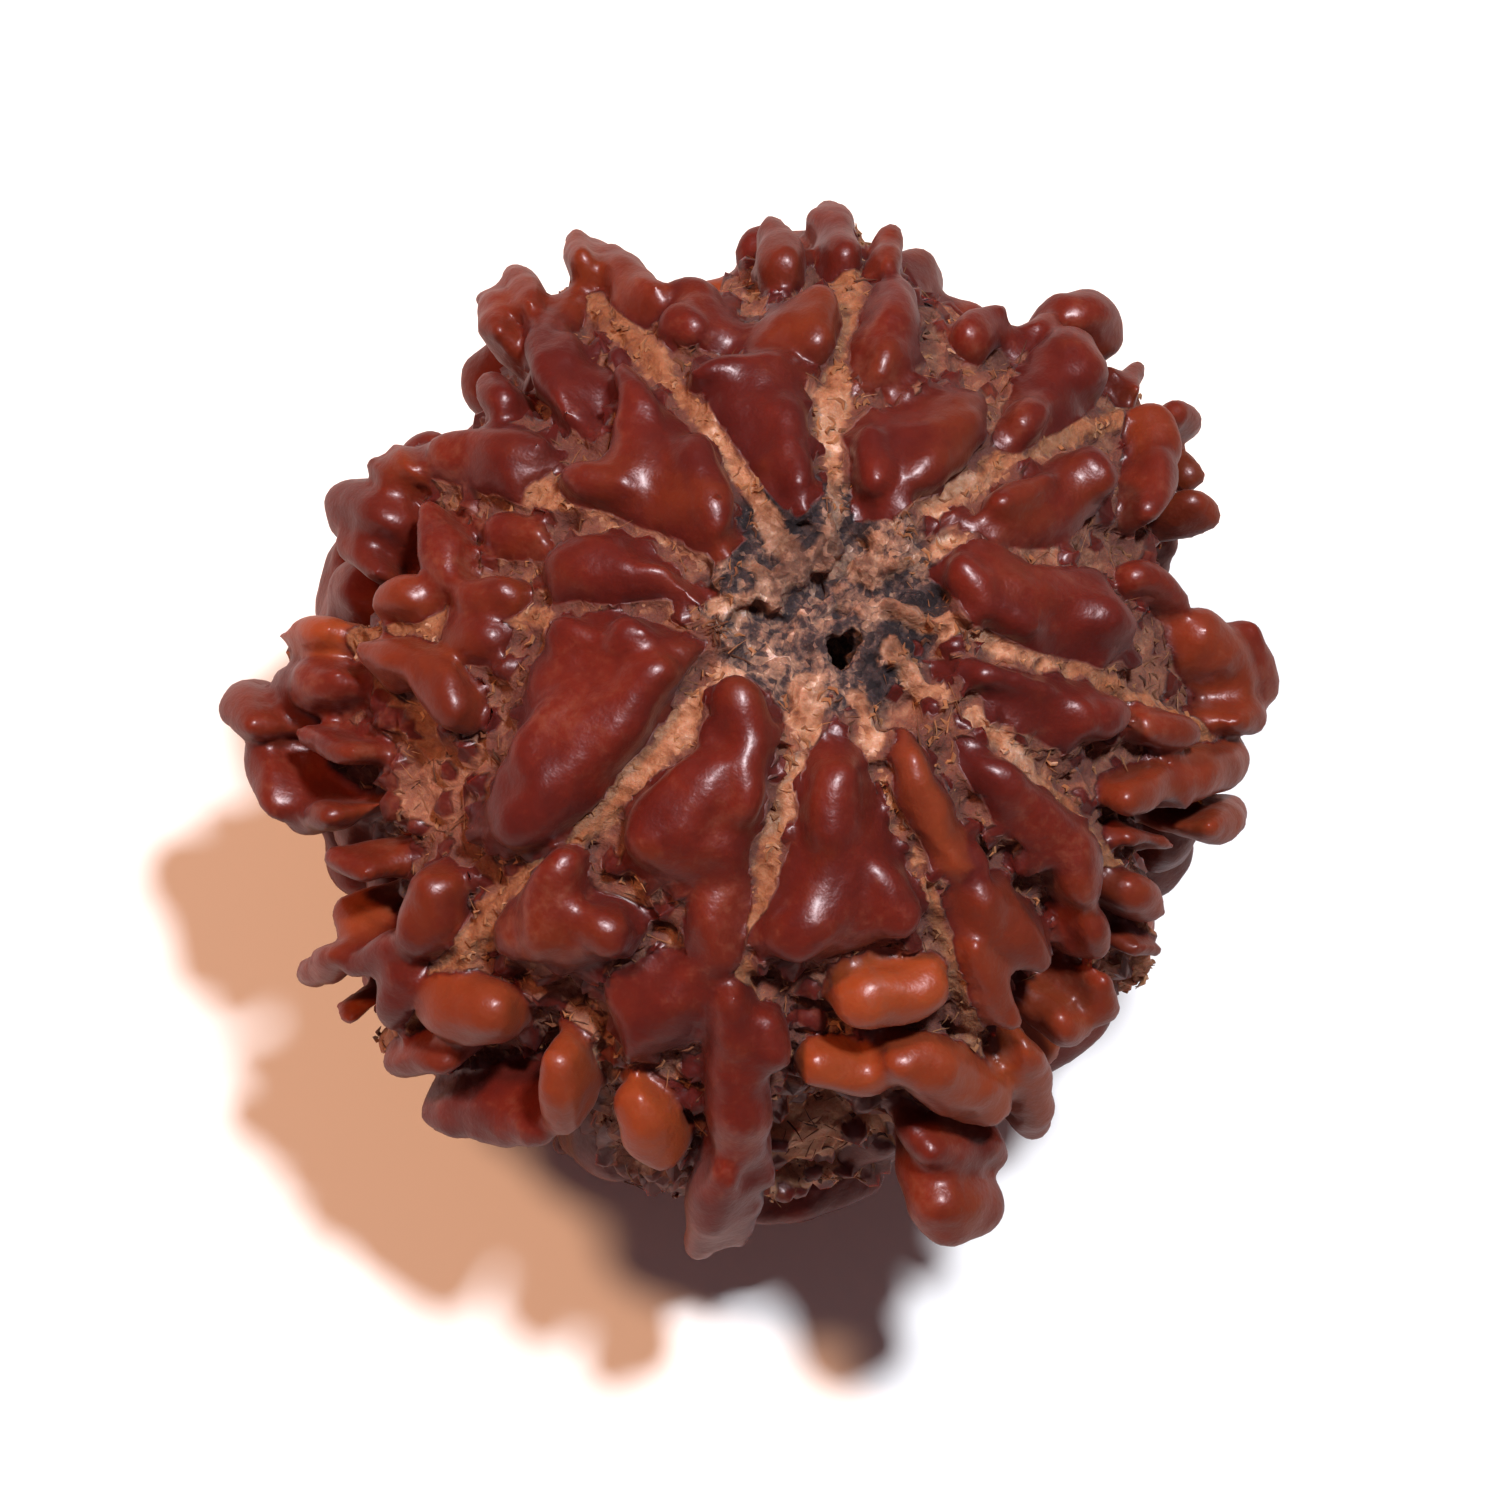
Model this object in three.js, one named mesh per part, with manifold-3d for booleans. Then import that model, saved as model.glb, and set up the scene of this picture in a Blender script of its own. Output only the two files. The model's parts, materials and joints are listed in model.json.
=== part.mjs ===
// Rudraksha bead, the woody stone of a fruit: ten ridges of waxy lobes around a natural channel.
// Millimetres, +Z along the channel. The bead stands on the small flat spot at its lower end.
import * as THREE from 'three';
import { mergeVertices } from 'three/addons/utils/BufferGeometryUtils.js';
import Module from 'manifold-3d';

// The bead's outer form is an ellipsoid through the tips of the lobes.
const HALF_WIDTH = 11.55;
const HALF_DEPTH = 12.7;
const HALF_HEIGHT = 9.6;
const CENTRE_HEIGHT = 8.9;

// The core lies under the lobes, deepest in the valleys between the ridges at the widest level.
const CORE_DEPTH = 0.75;
const RIDGE_DEPTH = 0.5;
const VALLEY_DEPTH = 1.4;
const VALLEY_POWER = 3;
const VALLEY_FALLOFF = 3;

// Below this latitude the relief fades into the smooth zone that holds the flat spot.
const FADE_START = -57;
const FADE_END = -66;
const FLAT_ZONE_DEPTH = 0.2;

const CHANNEL_RADIUS = 0.7;
const CHANNEL_SIDES = 16;
const TOOL_SIZE = 60;
const GRID = 30;
const SOFTENING = 0.2;
const SHELL_COLOUR = 0x6b2412;
const SHELL_ROUGHNESS = 0.4;

// The view that the places below were picked in: the angle above the floor and the roll in degrees, the
// distance from the bead's centre in mm, then the focal length and the centre's place in pixels.
const VIEW_ELEVATION = 71;
const VIEW_ROLL = 29;
const VIEW_DISTANCE = 120;
const VIEW_FOCAL = 5158;
const VIEW_CENTRE = [761, 713];
const OUTLINE_STEP = 0.1;

// Ten seams run from end to end, each along the crest of a ridge: azimuths in degrees.
const SEAMS = [15, 64, 113, 151, 183, 207, 251, 289, 323, 354];

// Broad masses between the seams: how far the top stands above the outer form in mm, then the outline
// in pixels of the view.
const MASSES = [
  [0.1, [[850, 432], [868, 410], [897, 408], [958, 383], [986, 400], [986, 438], [925, 488], [862, 512]]],
  [0.1, [[1003, 432], [1038, 362], [1048, 338], [1068, 330], [1102, 385], [1086, 410], [1020, 450]]],
  [0.1, [[862, 305], [894, 262], [911, 285], [914, 375], [892, 399], [854, 355]]],
  [0.1, [[688, 370], [790, 343], [804, 362], [814, 470], [803, 508], [782, 502], [728, 430]]],
  [-0.2, [[660, 322], [690, 286], [746, 326], [742, 350], [668, 346]]],
  [0.1, [[748, 320], [805, 288], [832, 325], [820, 354], [755, 352]]],
  [0.2, [[618, 352], [680, 430], [740, 536], [726, 550], [560, 497], [550, 478], [602, 455], [610, 390]]],
  [-0.2, [[512, 332], [560, 320], [610, 372], [590, 442], [545, 408]]],
  [0.1, [[402, 447], [470, 420], [520, 424], [550, 446], [510, 491], [425, 472]]],
  [0.1, [[542, 560], [568, 540], [610, 530], [714, 592], [690, 601], [553, 600]]],
  [0.2, [[548, 642], [612, 614], [698, 650], [668, 694], [568, 804], [502, 862], [464, 834], [505, 740]]],
  [0.2, [[718, 708], [742, 678], [774, 712], [742, 892], [660, 896], [622, 868], [632, 836], [676, 784]]],
  [-0.2, [[690, 886], [745, 884], [741, 976], [702, 986], [684, 940]]],
  [0.2, [[498, 938], [545, 870], [566, 856], [582, 905], [637, 936], [626, 967], [560, 987]]],
  [-0.3, [[603, 1032], [598, 992], [690, 960], [727, 976], [692, 1046], [618, 1072]]],
  [0.2, [[808, 757], [830, 744], [857, 756], [928, 925], [912, 946], [820, 972], [763, 967], [801, 850]]],
  [0.1, [[904, 734], [919, 748], [977, 870], [956, 886], [934, 872], [896, 755]]],
  [0.1, [[964, 744], [1022, 783], [1097, 838], [1108, 870], [1082, 882], [1013, 842], [968, 777]]],
  [0, [[944, 900], [970, 884], [1010, 888], [1062, 950], [1052, 987], [958, 937]]],
  [0.1, [[953, 664], [1020, 670], [1098, 688], [1104, 720], [1072, 748], [1008, 722]]],
  [0.2, [[943, 570], [1000, 540], [1102, 568], [1148, 625], [1142, 657], [1110, 668], [975, 618]]],
  [0.2, [[973, 523], [1040, 465], [1075, 449], [1107, 453], [1122, 490], [1080, 533], [1000, 537]]],
];
const MASS_GROW = 0.36;
const MASS_EDGE = 1.6;
const MASS_ROUNDNESS = 2.2;

// A lobe is a rounded finger. Both of its ends in pixels of the view, its radius in mm, and how far its
// crest stands above the outer form in mm. The lobes between one seam and the next are together.
const LOBES = [
  // 64 to 113
  [868, 445, 875, 480, 0.45, 0.2],
  [915, 475, 968, 430, 0.55, 0.2],
  [1068, 355, 1072, 375, 0.7, 0.2],
  [1072, 318, 1090, 325, 0.75, 0],
  [970, 338, 993, 322, 0.45, -0.2],
  [1030, 330, 1045, 325, 0.35, -0.3],
  [888, 236, 884, 265, 0.35, 0],
  [1113, 372, 1120, 378, 0.35, -0.2],
  [1132, 368, 1137, 385, 0.35, 0],
  [1010, 350, 1035, 345, 0.5, -0.6],
  // 113 to 151
  [790, 420, 795, 480, 0.45, 0.2],
  [774, 232, 778, 262, 0.6, 0],
  [826, 218, 838, 250, 0.55, 0],
  // 151 to 183
  [690, 465, 715, 525, 0.5, 0.3],
  [625, 370, 640, 440, 0.5, 0.3],
  [490, 302, 495, 330, 0.4, 0],
  [514, 275, 530, 306, 0.35, 0],
  [578, 246, 582, 262, 0.45, 0],
  [602, 248, 648, 298, 0.5, 0.1],
  [488, 388, 498, 408, 0.35, -0.2],
  [580, 300, 560, 345, 0.45, -0.4],
  // 183 to 207
  [432, 520, 445, 575, 0.5, 0],
  [355, 510, 385, 527, 0.7, 0],
  [394, 446, 416, 470, 0.25, 0],
  [380, 470, 392, 482, 0.3, 0],
  [470, 598, 512, 600, 0.4, -0.1],
  [385, 605, 415, 602, 0.45, 0],
  [500, 535, 530, 545, 0.45, -0.4],
  [345, 545, 365, 575, 0.3, -0.2],
  // 207 to 251
  [650, 688, 518, 820, 0.75, 0.6],
  [572, 705, 505, 800, 0.6, 0.4],
  [370, 660, 420, 664, 0.5, 0.1],
  [420, 668, 455, 708, 0.55, 0.1],
  [475, 640, 495, 645, 0.65, -0.4],
  [285, 635, 325, 635, 0.4, 0],
  [295, 690, 335, 688, 0.6, 0],
  [240, 700, 250, 725, 0.45, 0],
  [262, 752, 275, 800, 0.55, 0],
  [310, 742, 350, 755, 0.4, -0.1],
  [275, 815, 330, 815, 0.3, -0.1],
  [337, 860, 365, 870, 0.3, -0.1],
  [435, 895, 415, 935, 0.7, 0.1],
  [395, 945, 352, 965, 0.4, 0.1],
  [345, 912, 358, 930, 0.45, -0.6],
  [312, 980, 335, 955, 0.35, 0],
  [402, 975, 385, 1018, 0.5, 0],
  // 251 to 289
  [700, 782, 664, 834, 0.8, 0.45],
  [744, 752, 737, 800, 0.6, 0.35],
  [734, 706, 740, 724, 0.5, 0.15],
  [562, 875, 550, 935, 0.65, 0.3],
  [460, 1010, 480, 1015, 0.85, 0],
  [555, 1070, 562, 1108, 0.55, 0],
  [400, 1060, 440, 1060, 0.5, 0],
  [440, 1110, 530, 1128, 0.65, -0.1],
  [640, 1110, 660, 1145, 0.65, 0],
  // 289 to 323
  [828, 800, 834, 835, 0.65, 0.3],
  [884, 895, 890, 915, 0.65, 0.35],
  [862, 1000, 915, 992, 0.7, 0.1],
  [730, 1015, 738, 1150, 0.65, 0.1],
  [722, 1185, 696, 1246, 0.6, 0],
  [737, 1190, 730, 1238, 0.5, 0],
  [763, 1035, 770, 1060, 0.4, -0.1],
  [820, 1072, 868, 1078, 0.55, -0.3],
  [905, 1065, 972, 1088, 0.75, 0.1],
  [930, 1152, 990, 1150, 0.5, 0],
  [945, 1205, 970, 1205, 0.8, 0],
  [755, 1160, 760, 1180, 0.4, -0.1],
  // 323 to 354
  [978, 955, 1005, 1020, 0.45, 0.1],
  [1025, 1050, 1030, 1120, 0.45, 0],
  [1060, 1015, 1075, 1025, 0.45, -0.2],
  [1078, 880, 1082, 890, 0.5, 0],
  [1084, 925, 1088, 945, 0.5, 0],
  [1098, 985, 1105, 1013, 0.35, 0],
  [1135, 950, 1155, 957, 0.3, -0.1],
  [1122, 893, 1150, 910, 0.4, 0],
  // 354 to 15
  [1097, 715, 1118, 718, 0.4, 0],
  [1150, 726, 1185, 735, 0.35, 0],
  [1130, 795, 1222, 758, 0.55, 0],
  [1206, 834, 1233, 808, 0.35, 0],
  [1130, 842, 1170, 850, 0.3, -0.3],
  [1170, 780, 1180, 800, 0.35, -0.2],
  // 15 to 64
  [970, 585, 975, 588, 0.65, 0.3],
  [1080, 618, 1095, 625, 0.8, 0.3],
  [1086, 474, 1090, 478, 0.6, 0.3],
  [1143, 435, 1148, 445, 0.7, 0.1],
  [1150, 472, 1150, 505, 0.55, 0.1],
  [1175, 420, 1188, 425, 0.5, 0],
  [1195, 500, 1207, 515, 0.3, -0.1],
  [1140, 580, 1175, 600, 0.4, -0.4],
  [1200, 645, 1225, 675, 0.8, 0.1],
  [1245, 645, 1258, 690, 0.5, 0],
  [1230, 715, 1255, 710, 0.35, 0],
];
const LOBE_MARGIN = 0.4;
const LOBE_ROUNDNESS = 3;

// Two lobes lie past the outline of that view, so azimuth and latitude of each end are in degrees.
const LOW_LOBES = [
  [299, -23, 318, -26, 0.45, 0.25],
  [276, -33, 281, -40, 0.45, -0.3],
];

// The far side repeats the pattern: two rows of lobes beside each seam, from the last lobe listed above
// down to the flat spot. The list reaches lower on the side at 270 degrees, and the first lobes of each
// row lie deeper.
const LIST_END = -1;
const LIST_END_SWING = 17;
const ROW_STEP = 13;
const ROW_END = -62;
const ROW_OFFSET = 4.5;
const ROW_OFFSET_SPREAD = 5;
const ROW_LATITUDE_SPREAD = 7;
const HALF_LENGTH = 3;
const HALF_LENGTH_SPREAD = 4;
const ROW_RADIUS = 0.6;
const ROW_RADIUS_SPREAD = 0.4;
const ROW_LEAN = 6;
const ROW_LIFT = -0.25;
const ROW_LIFT_SPREAD = 0.5;
const FIRST_SUNK = 0.95;
const SUNK_STEP = 0.4;

// An even spread of values between 0 and 1, one for each count.
const SPREAD_RATE = 12.9898;
const SPREAD_SIZE = 43758.5453;
const DRAWS_PER_LOBE = 6;

const { degToRad, radToDeg, clamp, lerp, smoothstep, euclideanModulo } = THREE.MathUtils;
const semiAxes = new THREE.Vector3(HALF_WIDTH, HALF_DEPTH, HALF_HEIGHT);

// A point of the outer form, in mm from the ellipsoid's centre.
function outerPoint(unit) {
  return semiAxes.clone().multiply(unit);
}

function direction(azimuth, latitude) {
  const level = Math.cos(degToRad(latitude));
  return new THREE.Vector3(
    level * Math.cos(degToRad(azimuth)),
    level * Math.sin(degToRad(azimuth)),
    Math.sin(degToRad(latitude)),
  );
}

const viewBack = direction(-90, VIEW_ELEVATION);
const viewRight = new THREE.Vector3(1, 0, 0).applyAxisAngle(viewBack, degToRad(VIEW_ROLL));
const viewUp = viewBack.clone().cross(viewRight);
const unitSphere = new THREE.Sphere(new THREE.Vector3(), 1);

// The direction of the spot where the line of sight through a pixel meets the outer form grown by an
// offset, or null past its outline.
function seen(x, y, offset) {
  const size = semiAxes.clone().addScalar(offset);
  const sight = viewBack.clone().multiplyScalar(-VIEW_FOCAL)
    .addScaledVector(viewRight, x - VIEW_CENTRE[0])
    .addScaledVector(viewUp, VIEW_CENTRE[1] - y);
  const eye = viewBack.clone().multiplyScalar(VIEW_DISTANCE);
  const ray = new THREE.Ray(eye.divide(size), sight.divide(size).normalize());
  return ray.intersectSphere(unitSphere, new THREE.Vector3());
}

// A lobe at the outline stands out until both of its ends are met.
function seenLobe([x1, y1, x2, y2, radius, lift]) {
  const ends = [seen(x1, y1, lift - radius), seen(x2, y2, lift - radius)];
  if (ends.includes(null)) {
    return seenLobe([x1, y1, x2, y2, radius, lift + OUTLINE_STEP]);
  }
  return { ends, radius, lift };
}

function placedLobe([azimuth1, latitude1, azimuth2, latitude2, radius, lift]) {
  return { ends: [direction(azimuth1, latitude1), direction(azimuth2, latitude2)], radius, lift };
}

function spread(count) {
  const wave = Math.sin(count * SPREAD_RATE) * SPREAD_SIZE;
  return wave - Math.floor(wave);
}

function rowLobes() {
  const rows = [];
  for (const seam of SEAMS) {
    for (const side of [-1, 1]) {
      const start = LIST_END + LIST_END_SWING * Math.sin(degToRad(seam));
      for (let level = start; level > ROW_END; level -= ROW_STEP) {
        const count = rows.length * DRAWS_PER_LOBE;
        const azimuth = seam + side * (ROW_OFFSET + ROW_OFFSET_SPREAD * spread(count + 1));
        const latitude = level + ROW_LATITUDE_SPREAD * (spread(count + 2) - 0.5);
        const half = HALF_LENGTH + HALF_LENGTH_SPREAD * spread(count + 3);
        const radius = ROW_RADIUS + ROW_RADIUS_SPREAD * spread(count + 4);
        const lean = ROW_LEAN * (spread(count + 5) - 0.5);
        const sunk = Math.max(FIRST_SUNK - SUNK_STEP * (start - level) / ROW_STEP, 0);
        const lift = ROW_LIFT + ROW_LIFT_SPREAD * spread(count + 6) - sunk;
        rows.push([azimuth - lean, latitude + half, azimuth + lean, latitude - half, radius, lift]);
      }
    }
  }
  return rows;
}

const lobes = [
  ...LOBES.map(seenLobe),
  ...[...LOW_LOBES, ...rowLobes()].map(placedLobe),
].map(({ ends, radius, lift }) => ({
  spine: new THREE.Line3(...ends.map(outerPoint)),
  reach: radius + LOBE_MARGIN,
  lift,
}));

// Each mass is drawn on the plane that touches the outer form at its middle.
const masses = MASSES.map(([lift, outline]) => {
  const corners = outline.map(([x, y]) => outerPoint(seen(x, y, lift)));
  const middle = corners.reduce((sum, corner) => sum.add(corner), new THREE.Vector3());
  middle.divideScalar(corners.length);
  const normal = middle.clone().divide(semiAxes).divide(semiAxes).normalize();
  const across = new THREE.Vector3(1, 0, 0).projectOnPlane(normal).normalize();
  const along = normal.clone().cross(across);
  const flat = (point) => {
    const away = point.clone().sub(middle);
    return new THREE.Vector2(away.dot(across), away.dot(along));
  };
  const reach = Math.max(...corners.map((corner) => corner.distanceTo(middle))) + MASS_GROW;
  return { lift, middle, reach, flat, ring: corners.map(flat) };
});

// How far a spot lies inside a closed ring of corners, negative outside it.
function insideRing(spot, ring) {
  let nearest = Infinity;
  let inside = false;
  ring.forEach((last, index) => {
    const first = ring.at(index - 1);
    const edge = last.clone().sub(first);
    const away = spot.clone().sub(first);
    const share = clamp(away.dot(edge) / edge.lengthSq(), 0, 1);
    const crosses = (first.y > spot.y) !== (last.y > spot.y);
    if (crosses && away.x < edge.x * away.y / edge.y) {
      inside = !inside;
    }
    nearest = Math.min(nearest, away.distanceTo(edge.multiplyScalar(share)));
  });
  return inside ? nearest : -nearest;
}

// 0 along a seam and 1 halfway to the next one.
function valley(azimuth) {
  const next = SEAMS.findIndex((seam) => seam > azimuth);
  const after = next < 0 ? SEAMS[0] + 360 : SEAMS[next];
  const before = next < 0 ? SEAMS.at(-1) : (SEAMS[next - 1] ?? SEAMS.at(-1) - 360);
  const share = (azimuth - before) / (after - before);
  return Math.sin(Math.PI * share) ** VALLEY_POWER;
}

// Height of the surface above the outer form, in mm.
function relief(unit) {
  const latitude = radToDeg(Math.asin(unit.z));
  const azimuth = euclideanModulo(radToDeg(Math.atan2(unit.y, unit.x)), 360);
  const level = 1 - unit.z * unit.z;
  const hollow = VALLEY_DEPTH * level ** VALLEY_FALLOFF * valley(azimuth);
  const core = -(CORE_DEPTH + RIDGE_DEPTH * level + hollow);
  const point = outerPoint(unit);
  const foot = new THREE.Vector3();
  let height = core;
  for (const { lift, middle, reach, flat, ring } of masses) {
    if (point.distanceTo(middle) < reach) {
      const share = clamp((insideRing(flat(point), ring) + MASS_GROW) / MASS_EDGE, 0, 1);
      height = Math.max(height, core + (lift - core) * (1 - (1 - share) ** MASS_ROUNDNESS));
    }
  }
  for (const { spine, reach, lift } of lobes) {
    const away = point.distanceTo(spine.closestPointToPoint(point, true, foot)) / reach;
    if (away < 1) {
      height = Math.max(height, core + (lift - core) * (1 - away ** LOBE_ROUNDNESS));
    }
  }
  const shown = smoothstep(latitude, FADE_END, FADE_START);
  return lerp(-FLAT_ZONE_DEPTH, height, shown);
}

// Each height moves part of the way to the mean of its neighbours' heights.
function softened(heights, triangles) {
  const sums = new Float32Array(heights.length);
  const counts = new Float32Array(heights.length);
  for (let corner = 0; corner < triangles.length; corner += 1) {
    const next = corner % 3 === 2 ? corner - 2 : corner + 1;
    sums[triangles[corner]] += heights[triangles[next]];
    counts[triangles[corner]] += 1;
  }
  return heights.map((height, index) => lerp(height, sums[index] / counts[index], SOFTENING));
}

// An even grid of triangles over a sphere, moved out to the bead's surface.
function reliefBody() {
  const ball = new THREE.BoxGeometry(2, 2, 2, GRID, GRID, GRID);
  ball.deleteAttribute('normal');
  ball.deleteAttribute('uv');
  const body = mergeVertices(ball);
  const spots = body.attributes.position;
  const even = (value) => Math.tan(value * Math.PI / 4);
  const units = Array.from({ length: spots.count }, (_, index) => new THREE.Vector3(
    even(spots.getX(index)),
    even(spots.getY(index)),
    even(spots.getZ(index)),
  ).normalize());
  const heights = softened(units.map(relief), body.index.array);
  units.forEach((unit, index) => {
    const normal = unit.clone().divide(semiAxes).normalize();
    const place = outerPoint(unit).addScaledVector(normal, heights[index]);
    spots.setXYZ(index, place.x, place.y, place.z + CENTRE_HEIGHT);
  });
  return body;
}

const wasm = await Module();
wasm.setup();

function toSolid(geometry) {
  const plain = geometry.clone();
  plain.deleteAttribute('normal');
  plain.deleteAttribute('uv');
  const merged = mergeVertices(plain);
  return new wasm.Manifold(new wasm.Mesh({
    numProp: 3,
    vertProperties: new Float32Array(merged.attributes.position.array),
    triVerts: new Uint32Array(merged.index.array),
  }));
}

function toGeometry(solid) {
  const { vertProperties, triVerts } = solid.getMesh();
  const geometry = new THREE.BufferGeometry();
  geometry.setAttribute('position', new THREE.BufferAttribute(vertProperties, 3));
  geometry.setIndex(new THREE.BufferAttribute(triVerts, 1));
  return geometry;
}

// The floor plane cuts the flat spot, and the channel runs through from end to end.
const floorBlock = new THREE.BoxGeometry(TOOL_SIZE, TOOL_SIZE, TOOL_SIZE).translate(0, 0, -TOOL_SIZE / 2);
const channelRod = new THREE.CylinderGeometry(CHANNEL_RADIUS, CHANNEL_RADIUS, TOOL_SIZE, CHANNEL_SIDES)
  .rotateX(Math.PI / 2);

const stone = toGeometry(
  toSolid(reliefBody()).subtract(toSolid(floorBlock)).subtract(toSolid(channelRod)),
);

// The middle of the bead's box stands over the origin.
stone.computeBoundingBox();
const middle = stone.boundingBox.getCenter(new THREE.Vector3());
stone.translate(-middle.x, -middle.y, 0);
stone.computeVertexNormals();

const shellMaterial = new THREE.MeshStandardMaterial({ color: SHELL_COLOUR, roughness: SHELL_ROUGHNESS });
const bead = new THREE.Mesh(stone, shellMaterial);
bead.name = 'rudraksha_bead';

const part = new THREE.Group();
part.add(bead);

export default part;
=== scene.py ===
import json
import math
import random

import bmesh
import bpy
import numpy as np
from mathutils import Matrix, Vector, noise

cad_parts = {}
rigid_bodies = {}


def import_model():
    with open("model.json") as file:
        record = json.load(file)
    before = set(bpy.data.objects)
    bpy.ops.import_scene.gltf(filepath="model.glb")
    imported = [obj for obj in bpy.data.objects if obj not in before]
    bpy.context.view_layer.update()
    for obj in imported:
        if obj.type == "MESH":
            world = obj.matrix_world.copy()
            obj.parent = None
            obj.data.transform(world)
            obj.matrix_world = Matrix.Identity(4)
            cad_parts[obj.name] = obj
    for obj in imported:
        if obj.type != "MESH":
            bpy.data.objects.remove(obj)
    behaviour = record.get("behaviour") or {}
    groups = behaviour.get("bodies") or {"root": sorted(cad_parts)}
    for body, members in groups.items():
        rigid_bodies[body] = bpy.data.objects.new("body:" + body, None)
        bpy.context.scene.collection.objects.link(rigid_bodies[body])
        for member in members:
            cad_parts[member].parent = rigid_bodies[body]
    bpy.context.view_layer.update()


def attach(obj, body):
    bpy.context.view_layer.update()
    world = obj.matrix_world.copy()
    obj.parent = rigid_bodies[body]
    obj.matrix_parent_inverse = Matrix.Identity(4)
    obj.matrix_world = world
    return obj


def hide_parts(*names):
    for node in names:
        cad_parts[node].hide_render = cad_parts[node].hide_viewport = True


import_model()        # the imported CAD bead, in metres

random.seed(10)
noise.seed_set(10)
millimetre = 0.001

# the photograph's view of the bead
view = {
    "elevation": 71, "roll": 29,                     # degrees
    "distance": 120, "lens": 123.8, "sensor": 36,    # mm
    "frame": 1500,               # pixels
    "middle": (761, 713),        # pixel of the middle of the bead's outer form
    "outlineStep": 0.1,          # mm that a form grows by until a line of sight past its outline meets it
}

# the bead's outer form is an ellipsoid through the tips of the lobes, all in mm
bead = {
    "halfAxes": (11.55, 12.7, 9.6),
    "centreHeight": 8.9,      # of the widest level above the flat spot
    "coreDepth": 0.75,        # how far the core lies under the lobe tips
    "ridgeDepth": 0.5,        # further down along the ridges, at the widest level
    "valleyDepth": 1.8,       # further down between the ridges
    "valleyNarrowness": 1.5,
    "massGrow": 0.36,         # outward from the drawn outlines
    "massEdge": 1.9,          # the rounded edge's width, as a multiple of the listed one
    "massRoundness": 2.2,     # power of that edge's curve
    "skinEdge": (0.1, 0.36),  # where the waxy skin begins and closes, in from a mass's outline
    "pickDepth": 0.4,         # outlines are cast this far under the top of their mass
    "heapEdge": 1,            # width of the slope round a heap of husk
    "outlineMargin": 1,       # how far past an outline's corners distances are worked out
    "bossDepth": 0.6, "bossMiddle": 0.25,    # hollow ring round the upper mouth and its shallower middle
    "bossRadius": (2.9, 2.2, 1.7, 1.1),      # the ring's outer slope, from and to, and its inner one
    "cavities": [(150, 75), (2, 55)],        # azimuth and half width of the deep parts of that ring
    "cavityCore": 0.4,                # share of the half width that has the full depth
    "channelRadius": 0.32,
    "channelMouth": (0.87, -0.67),    # the upper mouth's place beside the axis
    "leanStart": 6, "leanHeight": 11, "leanReach": 3,    # where the channel leans over to it
    "boreTop": 0.75, "boreLevels": 12,      # share of the half height, and steps down the channel
    "levels": 170, "turns": 320,            # steps up and round the core
    "bends": [(0.4, 0.2), (1.0, 0.12)],     # wandering of the whole surface: how quick, how far
    "bendHeight": 3.0,                # above the flat spot, where the wandering is in full
    "voxel": 0.155,
    "smoothing": 6, "smoothFactor": 0.5,
    "keptShare": 0.67,        # of the faces, after thinning
}
farAway = 9.0      # mm, further than any distance that counts

# each seam's azimuth near the upper end, on the shoulder and at the widest level, its first and last latitude
# (degrees) and its radius (mm); the eleventh is a short branch
seams = [
    (15, 17, 21, 85, -58, 0.2), (70, 64, 65, 85, -58, 0.25), (118, 113, 110, 86, -58, 0.32),
    (155, 150, 148, 86, -58, 0.25), (188, 183, 183, 85, -58, 0.25), (212, 207, 203, 84, -58, 0.3),
    (251, 251, 250, 76, -58, 0.36), (289, 289, 295, 80, -58, 0.36), (319, 324, 328, 79, -58, 0.22),
    (352, 354, 354, 80, -58, 0.22), (52, 44, 40, 84, 66, 0.22),
]
mainSeams = seams[:10]
seamForm = {
    "latitudes": (82, 45, 10),   # where the three azimuths above hold
    "lift": -0.64,               # crest, from the outer form
    "step": 7,
}

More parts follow.
